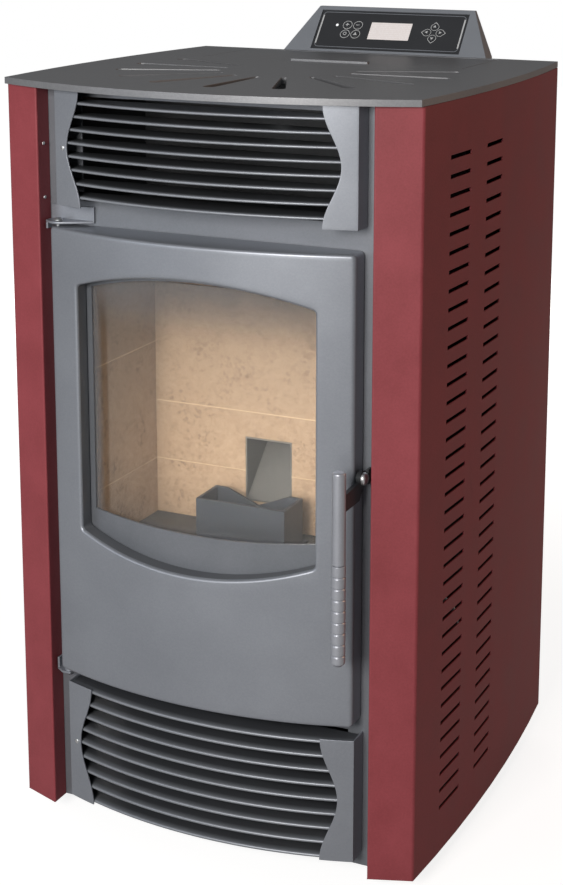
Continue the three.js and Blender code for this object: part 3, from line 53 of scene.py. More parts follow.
recordSlot = {s["node"]: s["material_slot"] for s in frame["record"]["subparts"]}
bodyOfNode = {node: body for body, nodes in frame["record"]["behaviour"]["bodies"].items()
              for node in nodes}


def newObject(name, data):
    thing = bpy.data.objects.new(name, data)
    bpy.context.scene.collection.objects.link(thing)
    return thing


@contextmanager
def editing(mesh):
    # the mesh's faces and points to work on, written back afterwards
    bm = bmesh.new()
    bm.from_mesh(mesh)
    yield bm
    bm.to_mesh(mesh)
    bm.free()


def linear(code):
    # sRGB hex to linear
    parts = [int(code[i:i + 2], 16) / 255 for i in (1, 3, 5)]
    return [c / 12.92 if c <= 0.04045 else ((c + 0.055) / 1.055) ** 2.4 for c in parts] + [1.0]


# camera and light

cameraSetup = {
    "place": (0.93101, -1.99357, 1.17095),
    "turn": (79.079, -0.429, 23.246),
    "lens": 69.51,
    "shift": (-0.07875, -0.23782),
}
cameraData = bpy.data.cameras.new("camera")
camera = newObject("camera", cameraData)
camera.location = cameraSetup["place"]
camera.rotation_euler = [math.radians(a) for a in cameraSetup["turn"]]
cameraData.sensor_width = 36
cameraData.lens = cameraSetup["lens"]
cameraData.shift_x, cameraData.shift_y = cameraSetup["shift"]
cameraData.clip_start = 0.05
bpy.context.scene.camera = camera
bpy.context.scene.view_settings.view_transform = "Standard"

lamps = {
    "keySoftbox": {"place": (0.1, -3.0, 1.5), "aim": (0, -0.2, 0.6), "size": (1.0, 1.0), "watts": 74,
                   "colour": "#fffaf4"},
    "leftFill": {"place": (-1.6, -2.6, 1.3), "aim": (0, 0, 0.5), "size": (1.0, 1.4), "watts": 11,
                 "colour": "#f4f8ff"},
    "rearWarm": {"place": (2.8, 1.5, 1.7), "aim": (0.2, 0.2, 0.7), "size": (1.2, 1.2), "watts": 16,
                 "colour": "#ffb878"},
    "backFill": {"place": (-1.4, 2.9, 0.66), "aim": (0, 0.1, 0.5), "size": (1.6, 0.5), "watts": 48,
                 "colour": "#fffaf4"},
}
for lampName, setup in lamps.items():
    lampData = bpy.data.lights.new(lampName, "AREA")
    lampData.shape = "RECTANGLE"
    lampData.size, lampData.size_y = setup["size"]
    lampData.energy = setup["watts"]
    lampData.color = linear(setup["colour"])[:3]
    lamp = newObject(lampName, lampData)
    lamp.location = setup["place"]
    aim = Vector(setup["aim"]) - Vector(setup["place"])
    lamp.rotation_euler = aim.to_track_quat("-Z", "Y").to_euler()


def addNode(tree, kind, settings=None, links=None):
    # one node with its settings and the sockets that feed it
    node = tree.nodes.new(kind)
    for key, value in (settings or {}).items():
        if isinstance(key, int) or key in node.inputs.keys():
            node.inputs[key].default_value = value
        else:
            setattr(node, key, value)
    for key, source in (links or {}).items():
        tree.links.new(source, node.inputs[key])
    return node


def newMaterial(name):
    # an empty material, its tree, and the coordinates that its patterns are set out on
    material = bpy.data.materials.new(name)
    material.use_nodes = True
    tree = material.node_tree
    tree.nodes.clear()
    return material, tree, addNode(tree, "ShaderNodeTexCoord").outputs["Object"]


# world and floor

world = bpy.data.worlds.new("paleStudio")
bpy.context.scene.world = world
world.use_nodes = True
worldTree = world.node_tree
worldTree.nodes.clear()
worldSetup = {"shown": "#ffffff", "ambient": "#e9edf2", "ambientStrength": 0.1, "glossShare": 0.16}


def seenShare(tree):
    # how much of the white background a ray sees: all for camera and clear paths, a part in gloss
    path = addNode(tree, "ShaderNodeLightPath")
    gloss = addNode(tree, "ShaderNodeMath", {"operation": "MULTIPLY", 1: worldSetup["glossShare"]},
                    {0: path.outputs["Is Glossy Ray"]})
    either = addNode(tree, "ShaderNodeMath", {"operation": "MAXIMUM"},
                     {0: path.outputs["Is Camera Ray"], 1: gloss.outputs[0]})
    return addNode(tree, "ShaderNodeMath", {"operation": "MAXIMUM"},
                   {0: either.outputs[0], 1: path.outputs["Is Transmission Ray"]}).outputs[0]


ambient = addNode(worldTree, "ShaderNodeBackground",
                  {"Color": linear(worldSetup["ambient"]), "Strength": worldSetup["ambientStrength"]})
shown = addNode(worldTree, "ShaderNodeBackground", {"Color": linear(worldSetup["shown"])})
worldMix = addNode(worldTree, "ShaderNodeMixShader", {}, {
    0: seenShare(worldTree), 1: ambient.outputs[0], 2: shown.outputs[0]})
addNode(worldTree, "ShaderNodeOutputWorld", {}, {"Surface": worldMix.outputs[0]})


def floorPaint():
    # matt pale studio floor: keeps the shadow, and shows white to the camera and in reflections
    sweep = {"near": 0.7, "far": 2.4, "nearGlow": 0.84, "farGlow": 1.0, "paint": "#a4a4a4",
             "glow": "#ffffff"}
    material, tree, place = newMaterial("whiteStudioFloor")
    away = addNode(tree, "ShaderNodeVectorMath", {"operation": "LENGTH"}, {0: place})
    glowHere = addNode(tree, "ShaderNodeMapRange", {
        "From Min": sweep["near"], "From Max": sweep["far"], "To Min": sweep["nearGlow"],
        "To Max": sweep["farGlow"]}, {"Value": away.outputs["Value"]})
    share = addNode(tree, "ShaderNodeMath", {"operation": "MULTIPLY"},
                    {0: seenShare(tree), 1: glowHere.outputs[0]})
    matt = addNode(tree, "ShaderNodeBsdfDiffuse", {"Color": linear(sweep["paint"])})
    glow = addNode(tree, "ShaderNodeEmission", {"Color": linear(sweep["glow"])},
                   {"Strength": share.outputs[0]})
    both = addNode(tree, "ShaderNodeAddShader", {}, {0: matt.outputs[0], 1: glow.outputs[0]})
    addNode(tree, "ShaderNodeOutputMaterial", {}, {"Surface": both.outputs[0]})
    return material


floorMesh = bpy.data.meshes.new("studioFloor")
with editing(floorMesh) as bm:
    bmesh.ops.create_circle(bm, cap_ends=True, segments=96, radius=9.0)
floorMesh.materials.append(floorPaint())
newObject("studioFloor", floorMesh)
print("camera, lamps and floor set")


# finishes: pattern sizes are in mm

def finished(material, tree, settings, links):
    # ends a finish in its shader
    skin = addNode(tree, "ShaderNodeBsdfPrincipled", settings, links)
    addNode(tree, "ShaderNodeOutputMaterial", {}, {"Surface": skin.outputs[0]})
    return material


def setStops(ramp, *stops):
    # a colour ramp's stops from low to high, each a position and a hex colour
    ends = {0: 0, len(stops) - 1: -1}
    for i, (position, colour) in enumerate(stops):
        stop = ramp.elements[ends[i]] if i in ends else ramp.elements.new(position)
        stop.position = position
        stop.color = linear(colour)


def texturedPowderCoat():
    # polyester powder coat, baked: fine orange-peel grain and a soft satin gloss
    coat = {"light": "#94454c", "dark": "#863c42", "grain": 2.2, "grainShare": 0.55, "clouds": 60,
            "rough": (0.44, 0.6), "peel": 0.3}
    material, tree, place = newMaterial("redPowderCoat")
    clouds = addNode(tree, "ShaderNodeTexNoise", {"Scale": 1000 / coat["clouds"], "Detail": 5.0,
                                                  "Roughness": 0.6}, {"Vector": place})
    grain = addNode(tree, "ShaderNodeTexNoise", {"Scale": 1000 / coat["grain"], "Detail": 2.0},
                    {"Vector": place})
    both = addNode(tree, "ShaderNodeMath", {"operation": "MULTIPLY_ADD", 1: coat["grainShare"]},
                   {0: grain.outputs[0], 2: clouds.outputs[0]})
    colour = addNode(tree, "ShaderNodeValToRGB", {}, {0: both.outputs[0]})
    setStops(colour.color_ramp, (0.55, coat["dark"]), (1.0, coat["light"]))
    rough = addNode(tree, "ShaderNodeMapRange", {"To Min": coat["rough"][0], "To Max": coat["rough"][1]},
                    {"Value": clouds.outputs[0]})
    bump = addNode(tree, "ShaderNodeBump", {"Strength": 0.35, "Distance": coat["peel"] * mm},
                   {"Height": grain.outputs[0]})
    return finished(material, tree, {"IOR": 1.5, "Specular IOR Level": 0.3}, {
        "Base Color": colour.outputs[0], "Roughness": rough.outputs[0], "Normal": bump.outputs[0]})


usualStovePaint = {"clouds": 120, "flake": 1.6, "sparkle": 0.2, "grain": 1.6, "relief": 0.12,
                   "rough": 0.42, "metal": 0.45}


def stovePaint(name, light, dark, **changes):
    # silicone high-temperature paint with aluminium flake: satin, slightly cloudy, fine sparkle
    paint = {**usualStovePaint, **changes}
    material, tree, place = newMaterial(name)
    clouds = addNode(tree, "ShaderNodeTexNoise", {"Scale": 1000 / paint["clouds"], "Detail": 6.0,
                                                  "Roughness": 0.55}, {"Vector": place})
    flake = addNode(tree, "ShaderNodeTexVoronoi", {"Scale": 1000 / paint["flake"]}, {"Vector": place})
    flakeLight = addNode(tree, "ShaderNodeSeparateColor", {}, {0: flake.outputs["Color"]})
    both = addNode(tree, "ShaderNodeMath", {"operation": "MULTIPLY_ADD", 1: paint["sparkle"]},
                   {0: flakeLight.outputs[0], 2: clouds.outputs[0]})
    colour = addNode(tree, "ShaderNodeValToRGB", {}, {0: both.outputs[0]})
    setStops(colour.color_ramp, (0.35, dark), (0.9, light))
    shown = colour.outputs[0]
    if "inside" in paint:  # painted shade: a dark colour mixed in where the mask read from the mesh falls off behind the blade's front
        litFront = addNode(tree, "ShaderNodeAttribute", {"attribute_name": "litFront"})
        shown = addNode(tree, "ShaderNodeMix", {"data_type": "RGBA", 6: linear(paint["inside"])},
                        {0: litFront.outputs["Fac"], 7: shown}).outputs[2]
    rough = addNode(tree, "ShaderNodeMapRange", {"To Min": paint["rough"] - 0.05,
                                                 "To Max": paint["rough"] + 0.07},
                    {"Value": clouds.outputs[0]})
    grain = addNode(tree, "ShaderNodeTexNoise", {"Scale": 1000 / paint["grain"], "Detail": 2.0},
                    {"Vector": place})
    bump = addNode(tree, "ShaderNodeBump", {"Strength": 0.3, "Distance": paint["relief"] * mm},
                   {"Height": grain.outputs[0]})
    return finished(material, tree, {"Metallic": paint["metal"]}, {
        "Base Color": shown, "Roughness": rough.outputs[0], "Normal": bump.outputs[0]})


def vermiculiteBoard():
    # pressed vermiculite: matt, warm, full of small gold and brown flakes, darker towards the top: mostly
    # painted shade from the door's top, partly soot
    board = {"pale": "#b7a18c", "mid": "#a7917d", "dark": "#7f6c5e", "flake": 4.6, "flakeShare": 0.3,
             "patch": 45, "relief": 0.5}
    sootAndShade = {"colour": "#62574f", "from": 0.49, "to": 0.78, "most": 0.66, "wave": 0.06}  # heights in m
    material, tree, place = newMaterial("vermiculiteBoard")
    flake = addNode(tree, "ShaderNodeTexVoronoi", {"Scale": 1000 / board["flake"]}, {"Vector": place})
    fleck = addNode(tree, "ShaderNodeSeparateColor", {}, {0: flake.outputs["Color"]})
    patch = addNode(tree, "ShaderNodeTexNoise", {"Scale": 1000 / board["patch"], "Detail": 6.0,
                                                 "Roughness": 0.65}, {"Vector": place})
    both = addNode(tree, "ShaderNodeMath", {"operation": "MULTIPLY_ADD", 1: board["flakeShare"]},
                   {0: fleck.outputs[0], 2: patch.outputs[0]})
    colour = addNode(tree, "ShaderNodeValToRGB", {}, {0: both.outputs[0]})
    setStops(colour.color_ramp, (0.3, board["dark"]), (0.55, board["mid"]), (0.95, board["pale"]))
    # painted shade: the colour is darkened with height, standing mostly for the shadow that the door's top
    # casts, partly for soot
    height = addNode(tree, "ShaderNodeSeparateXYZ", {}, {0: place})
    wavy = addNode(tree, "ShaderNodeMath", {"operation": "MULTIPLY_ADD", 1: sootAndShade["wave"]},
                   {0: patch.outputs[0], 2: height.outputs[2]})
    sootAndShadeHere = addNode(tree, "ShaderNodeMapRange", {
        "From Min": sootAndShade["from"], "From Max": sootAndShade["to"], "To Max": sootAndShade["most"]},
        {"Value": wavy.outputs[0]})
    darkened = addNode(tree, "ShaderNodeMix", {"data_type": "RGBA", 7: linear(sootAndShade["colour"])},
                      {0: sootAndShadeHere.outputs[0], 6: colour.outputs[0]})
    bump = addNode(tree, "ShaderNodeBump", {"Strength": 0.5, "Distance": board["relief"] * mm},
                   {"Height": both.outputs[0]})
    return finished(material, tree, {"Roughness": 0.92},
                    {"Base Color": darkened.outputs[2], "Normal": bump.outputs[0]})


def castIron():
    # sand-cast iron with heat scale: pebbled, dark, faint brown bloom
    iron = {"dark": "#46484b", "light": "#63666a", "bloom": "#5b5047", "sand": 1.8, "patch": 35,
            "relief": 0.4}
    material, tree, place = newMaterial("sandCastIron")
    sand = addNode(tree, "ShaderNodeTexNoise", {"Scale": 1000 / iron["sand"], "Detail": 4.0},
                   {"Vector": place})
    patch = addNode(tree, "ShaderNodeTexNoise", {"Scale": 1000 / iron["patch"], "Detail": 5.0},
                    {"Vector": place})
    base = addNode(tree, "ShaderNodeValToRGB", {}, {0: sand.outputs[0]})
    setStops(base.color_ramp, (0.3, iron["dark"]), (0.75, iron["light"]))
    where = addNode(tree, "ShaderNodeMapRange", {"From Min": 0.5, "From Max": 0.75, "To Max": 0.5},
                    {"Value": patch.outputs[0]})
    colour = addNode(tree, "ShaderNodeMix", {"data_type": "RGBA", 7: linear(iron["bloom"])},
                     {0: where.outputs[0], 6: base.outputs[0]})
    bump = addNode(tree, "ShaderNodeBump", {"Strength": 0.6, "Distance": iron["relief"] * mm},
                   {"Height": sand.outputs[0]})
    return finished(material, tree, {"Metallic": 0.3, "Roughness": 0.72},
                    {"Base Color": colour.outputs[2], "Normal": bump.outputs[0]})


def galvanisedSheet():
    # hot-dip galvanised steel: grey spangle cells with soft edges, dull metal gloss
    zinc = {"dark": "#9a9ea1", "light": "#adb1b4", "spangle": 11, "bend": 20, "bendBy": 12,
            "rough": (0.34, 0.52)}
    material, tree, place = newMaterial("galvanisedSheet")
    bend = addNode(tree, "ShaderNodeTexNoise", {"Scale": 1000 / zinc["bend"], "Detail": 2.0},
                   {"Vector": place})
    moved = addNode(tree, "ShaderNodeVectorMath", {
        "operation": "MULTIPLY_ADD", 1: [zinc["bendBy"] * mm] * 3}, {0: bend.outputs["Color"], 2: place})
    cell = addNode(tree, "ShaderNodeTexVoronoi", {"Scale": 1000 / zinc["spangle"]},
                   {"Vector": moved.outputs[0]})
    shade = addNode(tree, "ShaderNodeSeparateColor", {}, {0: cell.outputs["Color"]})
    colour = addNode(tree, "ShaderNodeMix", {"data_type": "RGBA", 6: linear(zinc["dark"]),
                                             7: linear(zinc["light"])}, {0: shade.outputs[0]})
    rough = addNode(tree, "ShaderNodeMapRange", {"To Min": zinc["rough"][0], "To Max": zinc["rough"][1]},
                    {"Value": shade.outputs[1]})
    return finished(material, tree, {"Metallic": 0.9},
                    {"Base Color": colour.outputs[2], "Roughness": rough.outputs[0]})


paneEdgeFilm = {"colour": "#75767a",  # matt grey film mixed over the pane near its edges: axis, then inside, outside, most
            "edges": ((0, (-0.136, -0.158, 0.75)), (0, (0.146, 0.156, 0.35)),
                      (2, (0.436, 0.392, 0.8)), (2, (0.655, 0.745, 0.5)))}


def ceramicGlass():
    # clear glass-ceramic: polished, faint grey-brown tint, lets lamps through to the fire
    glass = {"tint": "#f3f0ea", "haze": 70, "rough": (0.0, 0.05)}
    material, tree, place = newMaterial("ceramicGlass")
    haze = addNode(tree, "ShaderNodeTexNoise", {"Scale": 1000 / glass["haze"], "Detail": 4.0},
                   {"Vector": place})
    rough = addNode(tree, "ShaderNodeMapRange", {"To Min": glass["rough"][0], "To Max": glass["rough"][1]},
                    {"Value": haze.outputs[0]})
    pane = addNode(tree, "ShaderNodeBsdfPrincipled",
                   {"Transmission Weight": 1.0, "IOR": 1.5, "Base Color": linear(glass["tint"])},
                   {"Roughness": rough.outputs[0]})
    path = addNode(tree, "ShaderNodeLightPath")
    clear = addNode(tree, "ShaderNodeBsdfTransparent", {"Color": linear(glass["tint"])})
    mix = addNode(tree, "ShaderNodeMixShader", {}, {
        0: path.outputs["Is Shadow Ray"], 1: pane.outputs[0], 2: clear.outputs[0]})
    # a matt grey film mixed over the pane, heaviest near its left and bottom edges
    parts = addNode(tree, "ShaderNodeSeparateXYZ", {}, {0: place})
    amount = None
    for axis, (inside, outside, most) in paneEdgeFilm["edges"]:
        film = addNode(tree, "ShaderNodeMapRange", {
            "interpolation_type": "SMOOTHSTEP", "From Min": inside, "From Max": outside, "To Max": most},
            {"Value": parts.outputs[axis]})
        amount = film.outputs[0] if amount is None else addNode(
            tree, "ShaderNodeMath", {"operation": "MAXIMUM"}, {0: amount, 1: film.outputs[0]}).outputs[0]
    uneven = addNode(tree, "ShaderNodeMapRange", {"From Min": 0.3, "From Max": 0.7, "To Min": 0.75},
                     {"Value": haze.outputs[0]})
    share = addNode(tree, "ShaderNodeMath", {"operation": "MULTIPLY"}, {0: amount, 1: uneven.outputs[0]})
    greyFilm = addNode(tree, "ShaderNodeBsdfDiffuse", {"Color": linear(paneEdgeFilm["colour"])})
    darkened = addNode(tree, "ShaderNodeMixShader", {}, {
        0: share.outputs[0], 1: mix.outputs[0], 2: greyFilm.outputs[0]})
    addNode(tree, "ShaderNodeOutputMaterial", {}, {"Surface": darkened.outputs[0]})
    return material


def mouldedPlastic(name, light, dark, grainSize, rough):
    # injection-moulded plastic or rubber: spark-eroded grain, even gloss
    cloudSize, grainHeight = 50, 0.1
    material, tree, place = newMaterial(name)
    grain = addNode(tree, "ShaderNodeTexNoise", {"Scale": 1000 / grainSize, "Detail": 3.0},
                    {"Vector": place})
    clouds = addNode(tree, "ShaderNodeTexNoise", {"Scale": 1000 / cloudSize, "Detail": 4.0},
                     {"Vector": place})
    colour = addNode(tree, "ShaderNodeMix", {"data_type": "RGBA", 6: linear(dark), 7: linear(light)},
                     {0: clouds.outputs[0]})
    gloss = addNode(tree, "ShaderNodeMapRange", {"To Min": rough - 0.06, "To Max": rough + 0.08},
                    {"Value": grain.outputs[0]})
    bump = addNode(tree, "ShaderNodeBump", {"Strength": 0.25, "Distance": grainHeight * mm},
                   {"Height": grain.outputs[0]})
    return finished(material, tree, {"IOR": 1.53}, {
        "Base Color": colour.outputs[2], "Roughness": gloss.outputs[0], "Normal": bump.outputs[0]})


def displayPanel():
    # liquid-crystal display, faintly lit: pale grey-pink field, fine pixel grid, clear window
    panel = {"field": "#e6e0df", "otherField": "#e2dbd9", "grid": "#d8d0cf", "pixel": 1.1, "glow": 0.34}
    material, tree, place = newMaterial("liquidCrystalDisplay")
    grid = addNode(tree, "ShaderNodeTexBrick", {
        "offset": 0.0, "Scale": 1000 / panel["pixel"] / 2, "Color1": linear(panel["field"]),
        "Color2": linear(panel["otherField"]), "Mortar": linear(panel["grid"]), "Mortar Size": 0.06,
        "Brick Width": 1.0, "Row Height": 1.0}, {"Vector": place})
    return finished(material, tree, {
        "Roughness": 0.3, "Coat Weight": 1.0, "Coat Roughness": 0.03, "Emission Strength": panel["glow"]},
        {"Base Color": grid.outputs[0], "Emission Color": grid.outputs[0]})


def grained(name, look, skin):
    # two close tones mixed by one fine grain, which can also vary the gloss or raise the surface
    material, tree, place = newMaterial(name)
    grain = addNode(tree, "ShaderNodeTexNoise", {
        "Scale": 1000 / look["grain"], "Detail": look.get("detail", 2.0)}, {"Vector": place}).outputs[0]
    colour = addNode(tree, "ShaderNodeMix", {"data_type": "RGBA", 6: linear(look["dark"]),
                                             7: linear(look["light"])}, {0: grain}).outputs[2]
    links = {"Base Color": colour}
    if "rough" in look:
        links["Roughness"] = addNode(tree, "ShaderNodeMapRange", {
            "To Min": look["rough"][0], "To Max": look["rough"][1]}, {"Value": grain}).outputs[0]
    if "relief" in look:
        links["Normal"] = addNode(tree, "ShaderNodeBump", {
            "Strength": 0.6, "Distance": look["relief"] * mm}, {"Height": grain}).outputs[0]
    if "Emission Strength" in skin:
        links["Emission Color"] = colour
    return finished(material, tree, skin, links)


finish = {
    "red_paint": texturedPowderCoat(),
    "grey_paint": stovePaint("greyStovePaint", "#969ba4", "#8a8f98", rough=0.38, metal=0.5),
    "rodPaint": stovePaint("handleStovePaint", "#aeb2bb", "#a2a6af", clouds=60, relief=0.1, rough=0.36,
                           metal=0.5),
    "framePaint": stovePaint("frameStovePaint", "#82868e", "#767b82"),
    # painted shade: grey paint that turns dark behind the blade's lit front edge
    "bladeShadedPaint": stovePaint("bladePaintWithShade", "#92979f", "#868b93", inside="#34363a", rough=0.4,
                             metal=0.4),
    # painted shade: a darker, duller copy of the stove paint for the window's wall, which lies in shade
    "revealShadePaint": stovePaint("windowWallShadePaint", "#66696e", "#5b5e63", clouds=60, sparkle=0.1, relief=0.1,
                            rough=0.55, metal=0.2),
    "dark_paint": stovePaint("darkStovePaint", "#3f4144", "#333538", clouds=70, relief=0.15, rough=0.5,
                             metal=0.15),
    "plate_paint": stovePaint("topPlatePaint", "#8a8c90", "#7d7f83", clouds=110, flake=1.8, sparkle=0.3,
                              grain=1.8, relief=0.18),
    # sheet steel blued and scaled by the fire: broad dull flakes, hardly any shine
    "potSteel": stovePaint("heatedPotSteel", "#3f4857", "#333b49", clouds=40, flake=6, sparkle=0.05,
                           grain=6, relief=0.04, rough=0.5, metal=0.15),
    "chuteSteel": stovePaint("chuteSteel", "#777a7d", "#686b6f", clouds=60, flake=5, sparkle=0.05,
                             grain=5, relief=0.05, rough=0.45, metal=0.3),
    "vermiculite": vermiculiteBoard(),
    "cast_iron": castIron(),
    "zinc": galvanisedSheet(),
    "glass": ceramicGlass(),
    "display": displayPanel(),
    "black_plastic": mouldedPlastic("blackAbs", "#36383c", "#2b2d31", 0.9, 0.42),
    "grey_plastic": mouldedPlastic("greyAbs", "#8b9098", "#80858d", 0.9, 0.42),
    "rubber": mouldedPlastic("mouldedRubber", "#2f2f30", "#232324", 1.2, 0.8),
    "border": mouldedPlastic("paleBorderTrim", "#8d929a", "#7c8088", 0.8, 0.35),
    # braided glass-fibre seal: pale grey yarn with a woven grain, greyed by soot
    "rope": grained("glassFibreRope", {"dark": "#5f5f5c", "light": "#a2a19b", "grain": 1.4, "detail": 4.0,
                                       "relief": 0.4}, {"Roughness": 0.95, "Sheen Weight": 0.3}),
    # bright zinc-plated fastener: turned steel with a fine haze of wear
    "fastener": grained("zincPlatedSteel", {"dark": "#c3c6c9", "light": "#eceeef", "grain": 1.5,
                                            "detail": 3.0, "rough": (0.28, 0.45)}, {"Metallic": 1.0}),
    # screen-printed pale ink on the membrane: thin, matt, slightly uneven
    "ink": grained("paleScreenInk", {"dark": "#b7babd", "light": "#dcdee0", "grain": 1.5},
                   {"Roughness": 0.6}),
    # painted highlight: pale strips in the board joints, where the courses' edges catch the light: matt,
    # sandy
    "jointHighlight": grained("jointHighlight", {"dark": "#bca78e", "light": "#cdb89f", "grain": 3.0,
                                         "detail": 3.0}, {"Roughness": 0.95}),
    # clear diffused lens over a small lamp that is lit
    "statusLight": grained("litStatusLens", {"dark": "#e9ecee", "light": "#f4f5f6", "grain": 0.8},
                           {"Roughness": 0.25, "Emission Strength": 0.55}),
}
print("finishes made:", len(finish))


# meshes that the pieces share; from here on, sizes without mm beside them are in metres

bevelAngle, creaseAngle = 38, 40  # degrees


def plainMesh(name, points, faces=(), edges=()):
    mesh = bpy.data.meshes.new(name)
    mesh.from_pydata([tuple(p) for p in points], list(edges), list(faces))
    mesh.update()
    return mesh


def finishMesh(mesh, weld=0.0, outward=True, smooth=True, creased=False):
    # welds points, turns the faces outwards, shades smooth and keeps the sharp folds crisp
    with editing(mesh) as bm:
        if weld:
            bmesh.ops.remove_doubles(bm, verts=bm.verts, dist=weld * mm)
        if outward:
            bmesh.ops.recalc_face_normals(bm, faces=bm.faces)
        for face in bm.faces:
            face.smooth = smooth
        for edge in bm.edges:
            if creased and edge.calc_face_angle(0.0) > math.radians(creaseAngle):
                edge.smooth = False
    return mesh


def ringFaces(rings, count, closed=False):
    # quads between rings of count points each: closed into a torus, or capped at both ends
    faces = []
    for r in range(rings if closed else rings - 1):
        for i in range(count):
            here, there, j = r * count, (r + 1) % rings * count, (i + 1) % count
            faces.append((here + i, here + j, there + j, there + i))
    if not closed:
        faces.append(tuple(reversed(range(count))))
        faces.append(tuple(range((rings - 1) * count, rings * count)))
    return faces


def arc(middle, radius, start, end, steps):
    # points of an arc in a plane, the last one left to the next run
    return [(middle[0] + radius * math.cos(start + (end - start) * i / steps),
             middle[1] + radius * math.sin(start + (end - start) * i / steps)) for i in range(steps)]


def straight(start, end, steps):
    return [(start[0] + (end[0] - start[0]) * i / steps, start[1] + (end[1] - start[1]) * i / steps)
            for i in range(steps)]


def roundedRectangle(left, right, low, high, radius, steps):
    outline = []
    for x, y, quarter in ((right - radius, high - radius, 0), (left + radius, high - radius, 1),
                          (left + radius, low + radius, 2), (right - radius, low + radius, 3)):
        for i in range(steps + 1):
            t = quarterTurn * (quarter + i / steps)
            outline.append((x + radius * math.cos(t), y + radius * math.sin(t)))
    return outline


def turned(points, middle, angle):
    # points turned by angle about zero, then set round middle
    c, s = math.cos(angle), math.sin(angle)
    return [(middle[0] + x * c - y * s, middle[1] + x * s + y * c) for x, y in points]


# pieces carried over from the frame, with rounded edges

def mergedCopy(node, name):
    # a joined, tidied copy of a CAD node's loose triangles
    mesh = frame["nodes"][node].data.copy()
    mesh.name = name
    with editing(mesh) as bm:
        bmesh.ops.remove_doubles(bm, verts=bm.verts, dist=0.002 * mm)
        bmesh.ops.join_triangles(bm, faces=bm.faces, angle_face_threshold=math.radians(0.1),
                                 angle_shape_threshold=math.radians(120))
    mesh.materials.clear()
    return newObject(name, finishMesh(mesh))


def attach(piece, node, stands=True):
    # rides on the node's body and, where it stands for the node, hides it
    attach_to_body(piece, bodyOfNode[node])
    if stands:
        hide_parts(node)


def roundEdges(piece, width, segments=2, limit="ANGLE"):
    bevel = piece.modifiers.new("roundedEdges", "BEVEL")
    bevel.width = width * mm
    bevel.segments = segments
    bevel.limit_method = limit
    bevel.angle_limit = math.radians(bevelAngle)
    bevel.miter_outer = "MITER_ARC"
    bevel.use_clamp_overlap = True
    normals = piece.modifiers.new("flatFaces", "WEIGHTED_NORMAL")
    normals.keep_sharp = False
    normals.weight = 60


def dressed(node, width, segments=2, look=None):
    piece = mergedCopy(node, node + ("_shell" if node.endswith("panel") else "_body"))
    piece.data.materials.append(finish[look or recordSlot[node]])
    roundEdges(piece, width, segments)
    attach(piece, node)


edgeRadius = {  # rounded edges in mm, as each piece is cut, cast or moulded
    "top_plate": 1.1, "hopper_lid": 0.9, "face_frame": 0.5, "base_plate": 0.5,
    "door_inner_frame": 0.6, "door_glass": 0.4, "door_liner": 0.5,
    "upper_hinge_bracket": 0.6, "lower_hinge_bracket": 0.6, "upper_hinge_pin": 0.4, "lower_hinge_pin": 0.4,
    "handle_lever": 0.6, "latch_keeper": 0.5, "firebox_body": 0.6,
    "brick_left": 0.5, "brick_right": 0.5, "brick_back": 0.5, "baffle": 0.8,
    "warm_air_duct": 0.4, "burn_pot": 1.2, "ash_pan": 0.4, "igniter": 0.4, "feed_chute": 0.4,
    "hopper": 0.4, "auger_tube": 0.4, "auger_screw": 0.5, "auger_gearmotor": 1.5,
    "exhaust_fan_housing": 0.6, "exhaust_fan_rotor": 0.3, "flue_outlet": 0.4, "air_intake_pipe": 0.4,
    "room_fan_housing": 0.6, "room_fan_rotor": 0.3, "power_inlet": 0.6, "power_switch": 0.5,
    "lcd_window": 0.2, "console_face": 0.4, "rear_panel": 0.4,
    "front_left_foot": 0.8, "front_right_foot": 0.8, "rear_left_foot": 0.8, "rear_right_foot": 0.8,
}
ownLook = {"burn_pot": "potSteel", "feed_chute": "chuteSteel", "face_frame": "framePaint",
           "door_inner_frame": "framePaint"}
for node, width in edgeRadius.items():
    dressed(node, width, look=ownLook.get(node))
print("carried pieces dressed:", len(edgeRadius))
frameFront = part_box("face_frame")[0][1]


# side panels: one bent sheet each, with a bend radius at the two long folds

sidePanels = {"bend": 3.0, "edge": 0.35, "segments": 4, "look": "red_paint", "leastTurn": 30,
              "foldLength": 0.8, "cutFace": 0.0025}  # bend and edge in mm; cutFace is an area in m2


def makeSidePanel(node):
    piece = mergedCopy(node, node + "_shell")
    mesh = piece.data
    with editing(mesh) as bm:
        weight = bm.edges.layers.float.new("bevel_weight_edge")
        for edge in bm.edges:
            # an edge without two faces counts as flat
            if edge.calc_face_angle(0.0) < math.radians(sidePanels["leastTurn"]):
                continue
            tall = abs(edge.verts[0].co.z - edge.verts[1].co.z) > sidePanels["foldLength"]
            cut = min(f.calc_area() for f in edge.link_faces) < sidePanels["cutFace"]
            folded = tall and not cut and edge.is_convex
            edge[weight] = 1.0 if folded else sidePanels["edge"] / sidePanels["bend"]
    mesh.materials.append(finish[sidePanels["look"]])
    roundEdges(piece, sidePanels["bend"], sidePanels["segments"], limit="WEIGHT")
    attach(piece, node)


for node in ("left_side_panel", "right_side_panel"):
    makeSidePanel(node)
print("side panels made")


# door skin: pressed sheet, rolled round at the front and into the window

bowRise = 0.033
doorLow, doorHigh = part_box("door_skin")
bowHalf = (doorHigh[0] - doorLow[0]) / 2
doorMiddle = (doorHigh[0] + doorLow[0]) / 2
bowFront = doorLow[1]
bowRadius = (bowHalf ** 2 + bowRise ** 2) / (2 * bowRise)

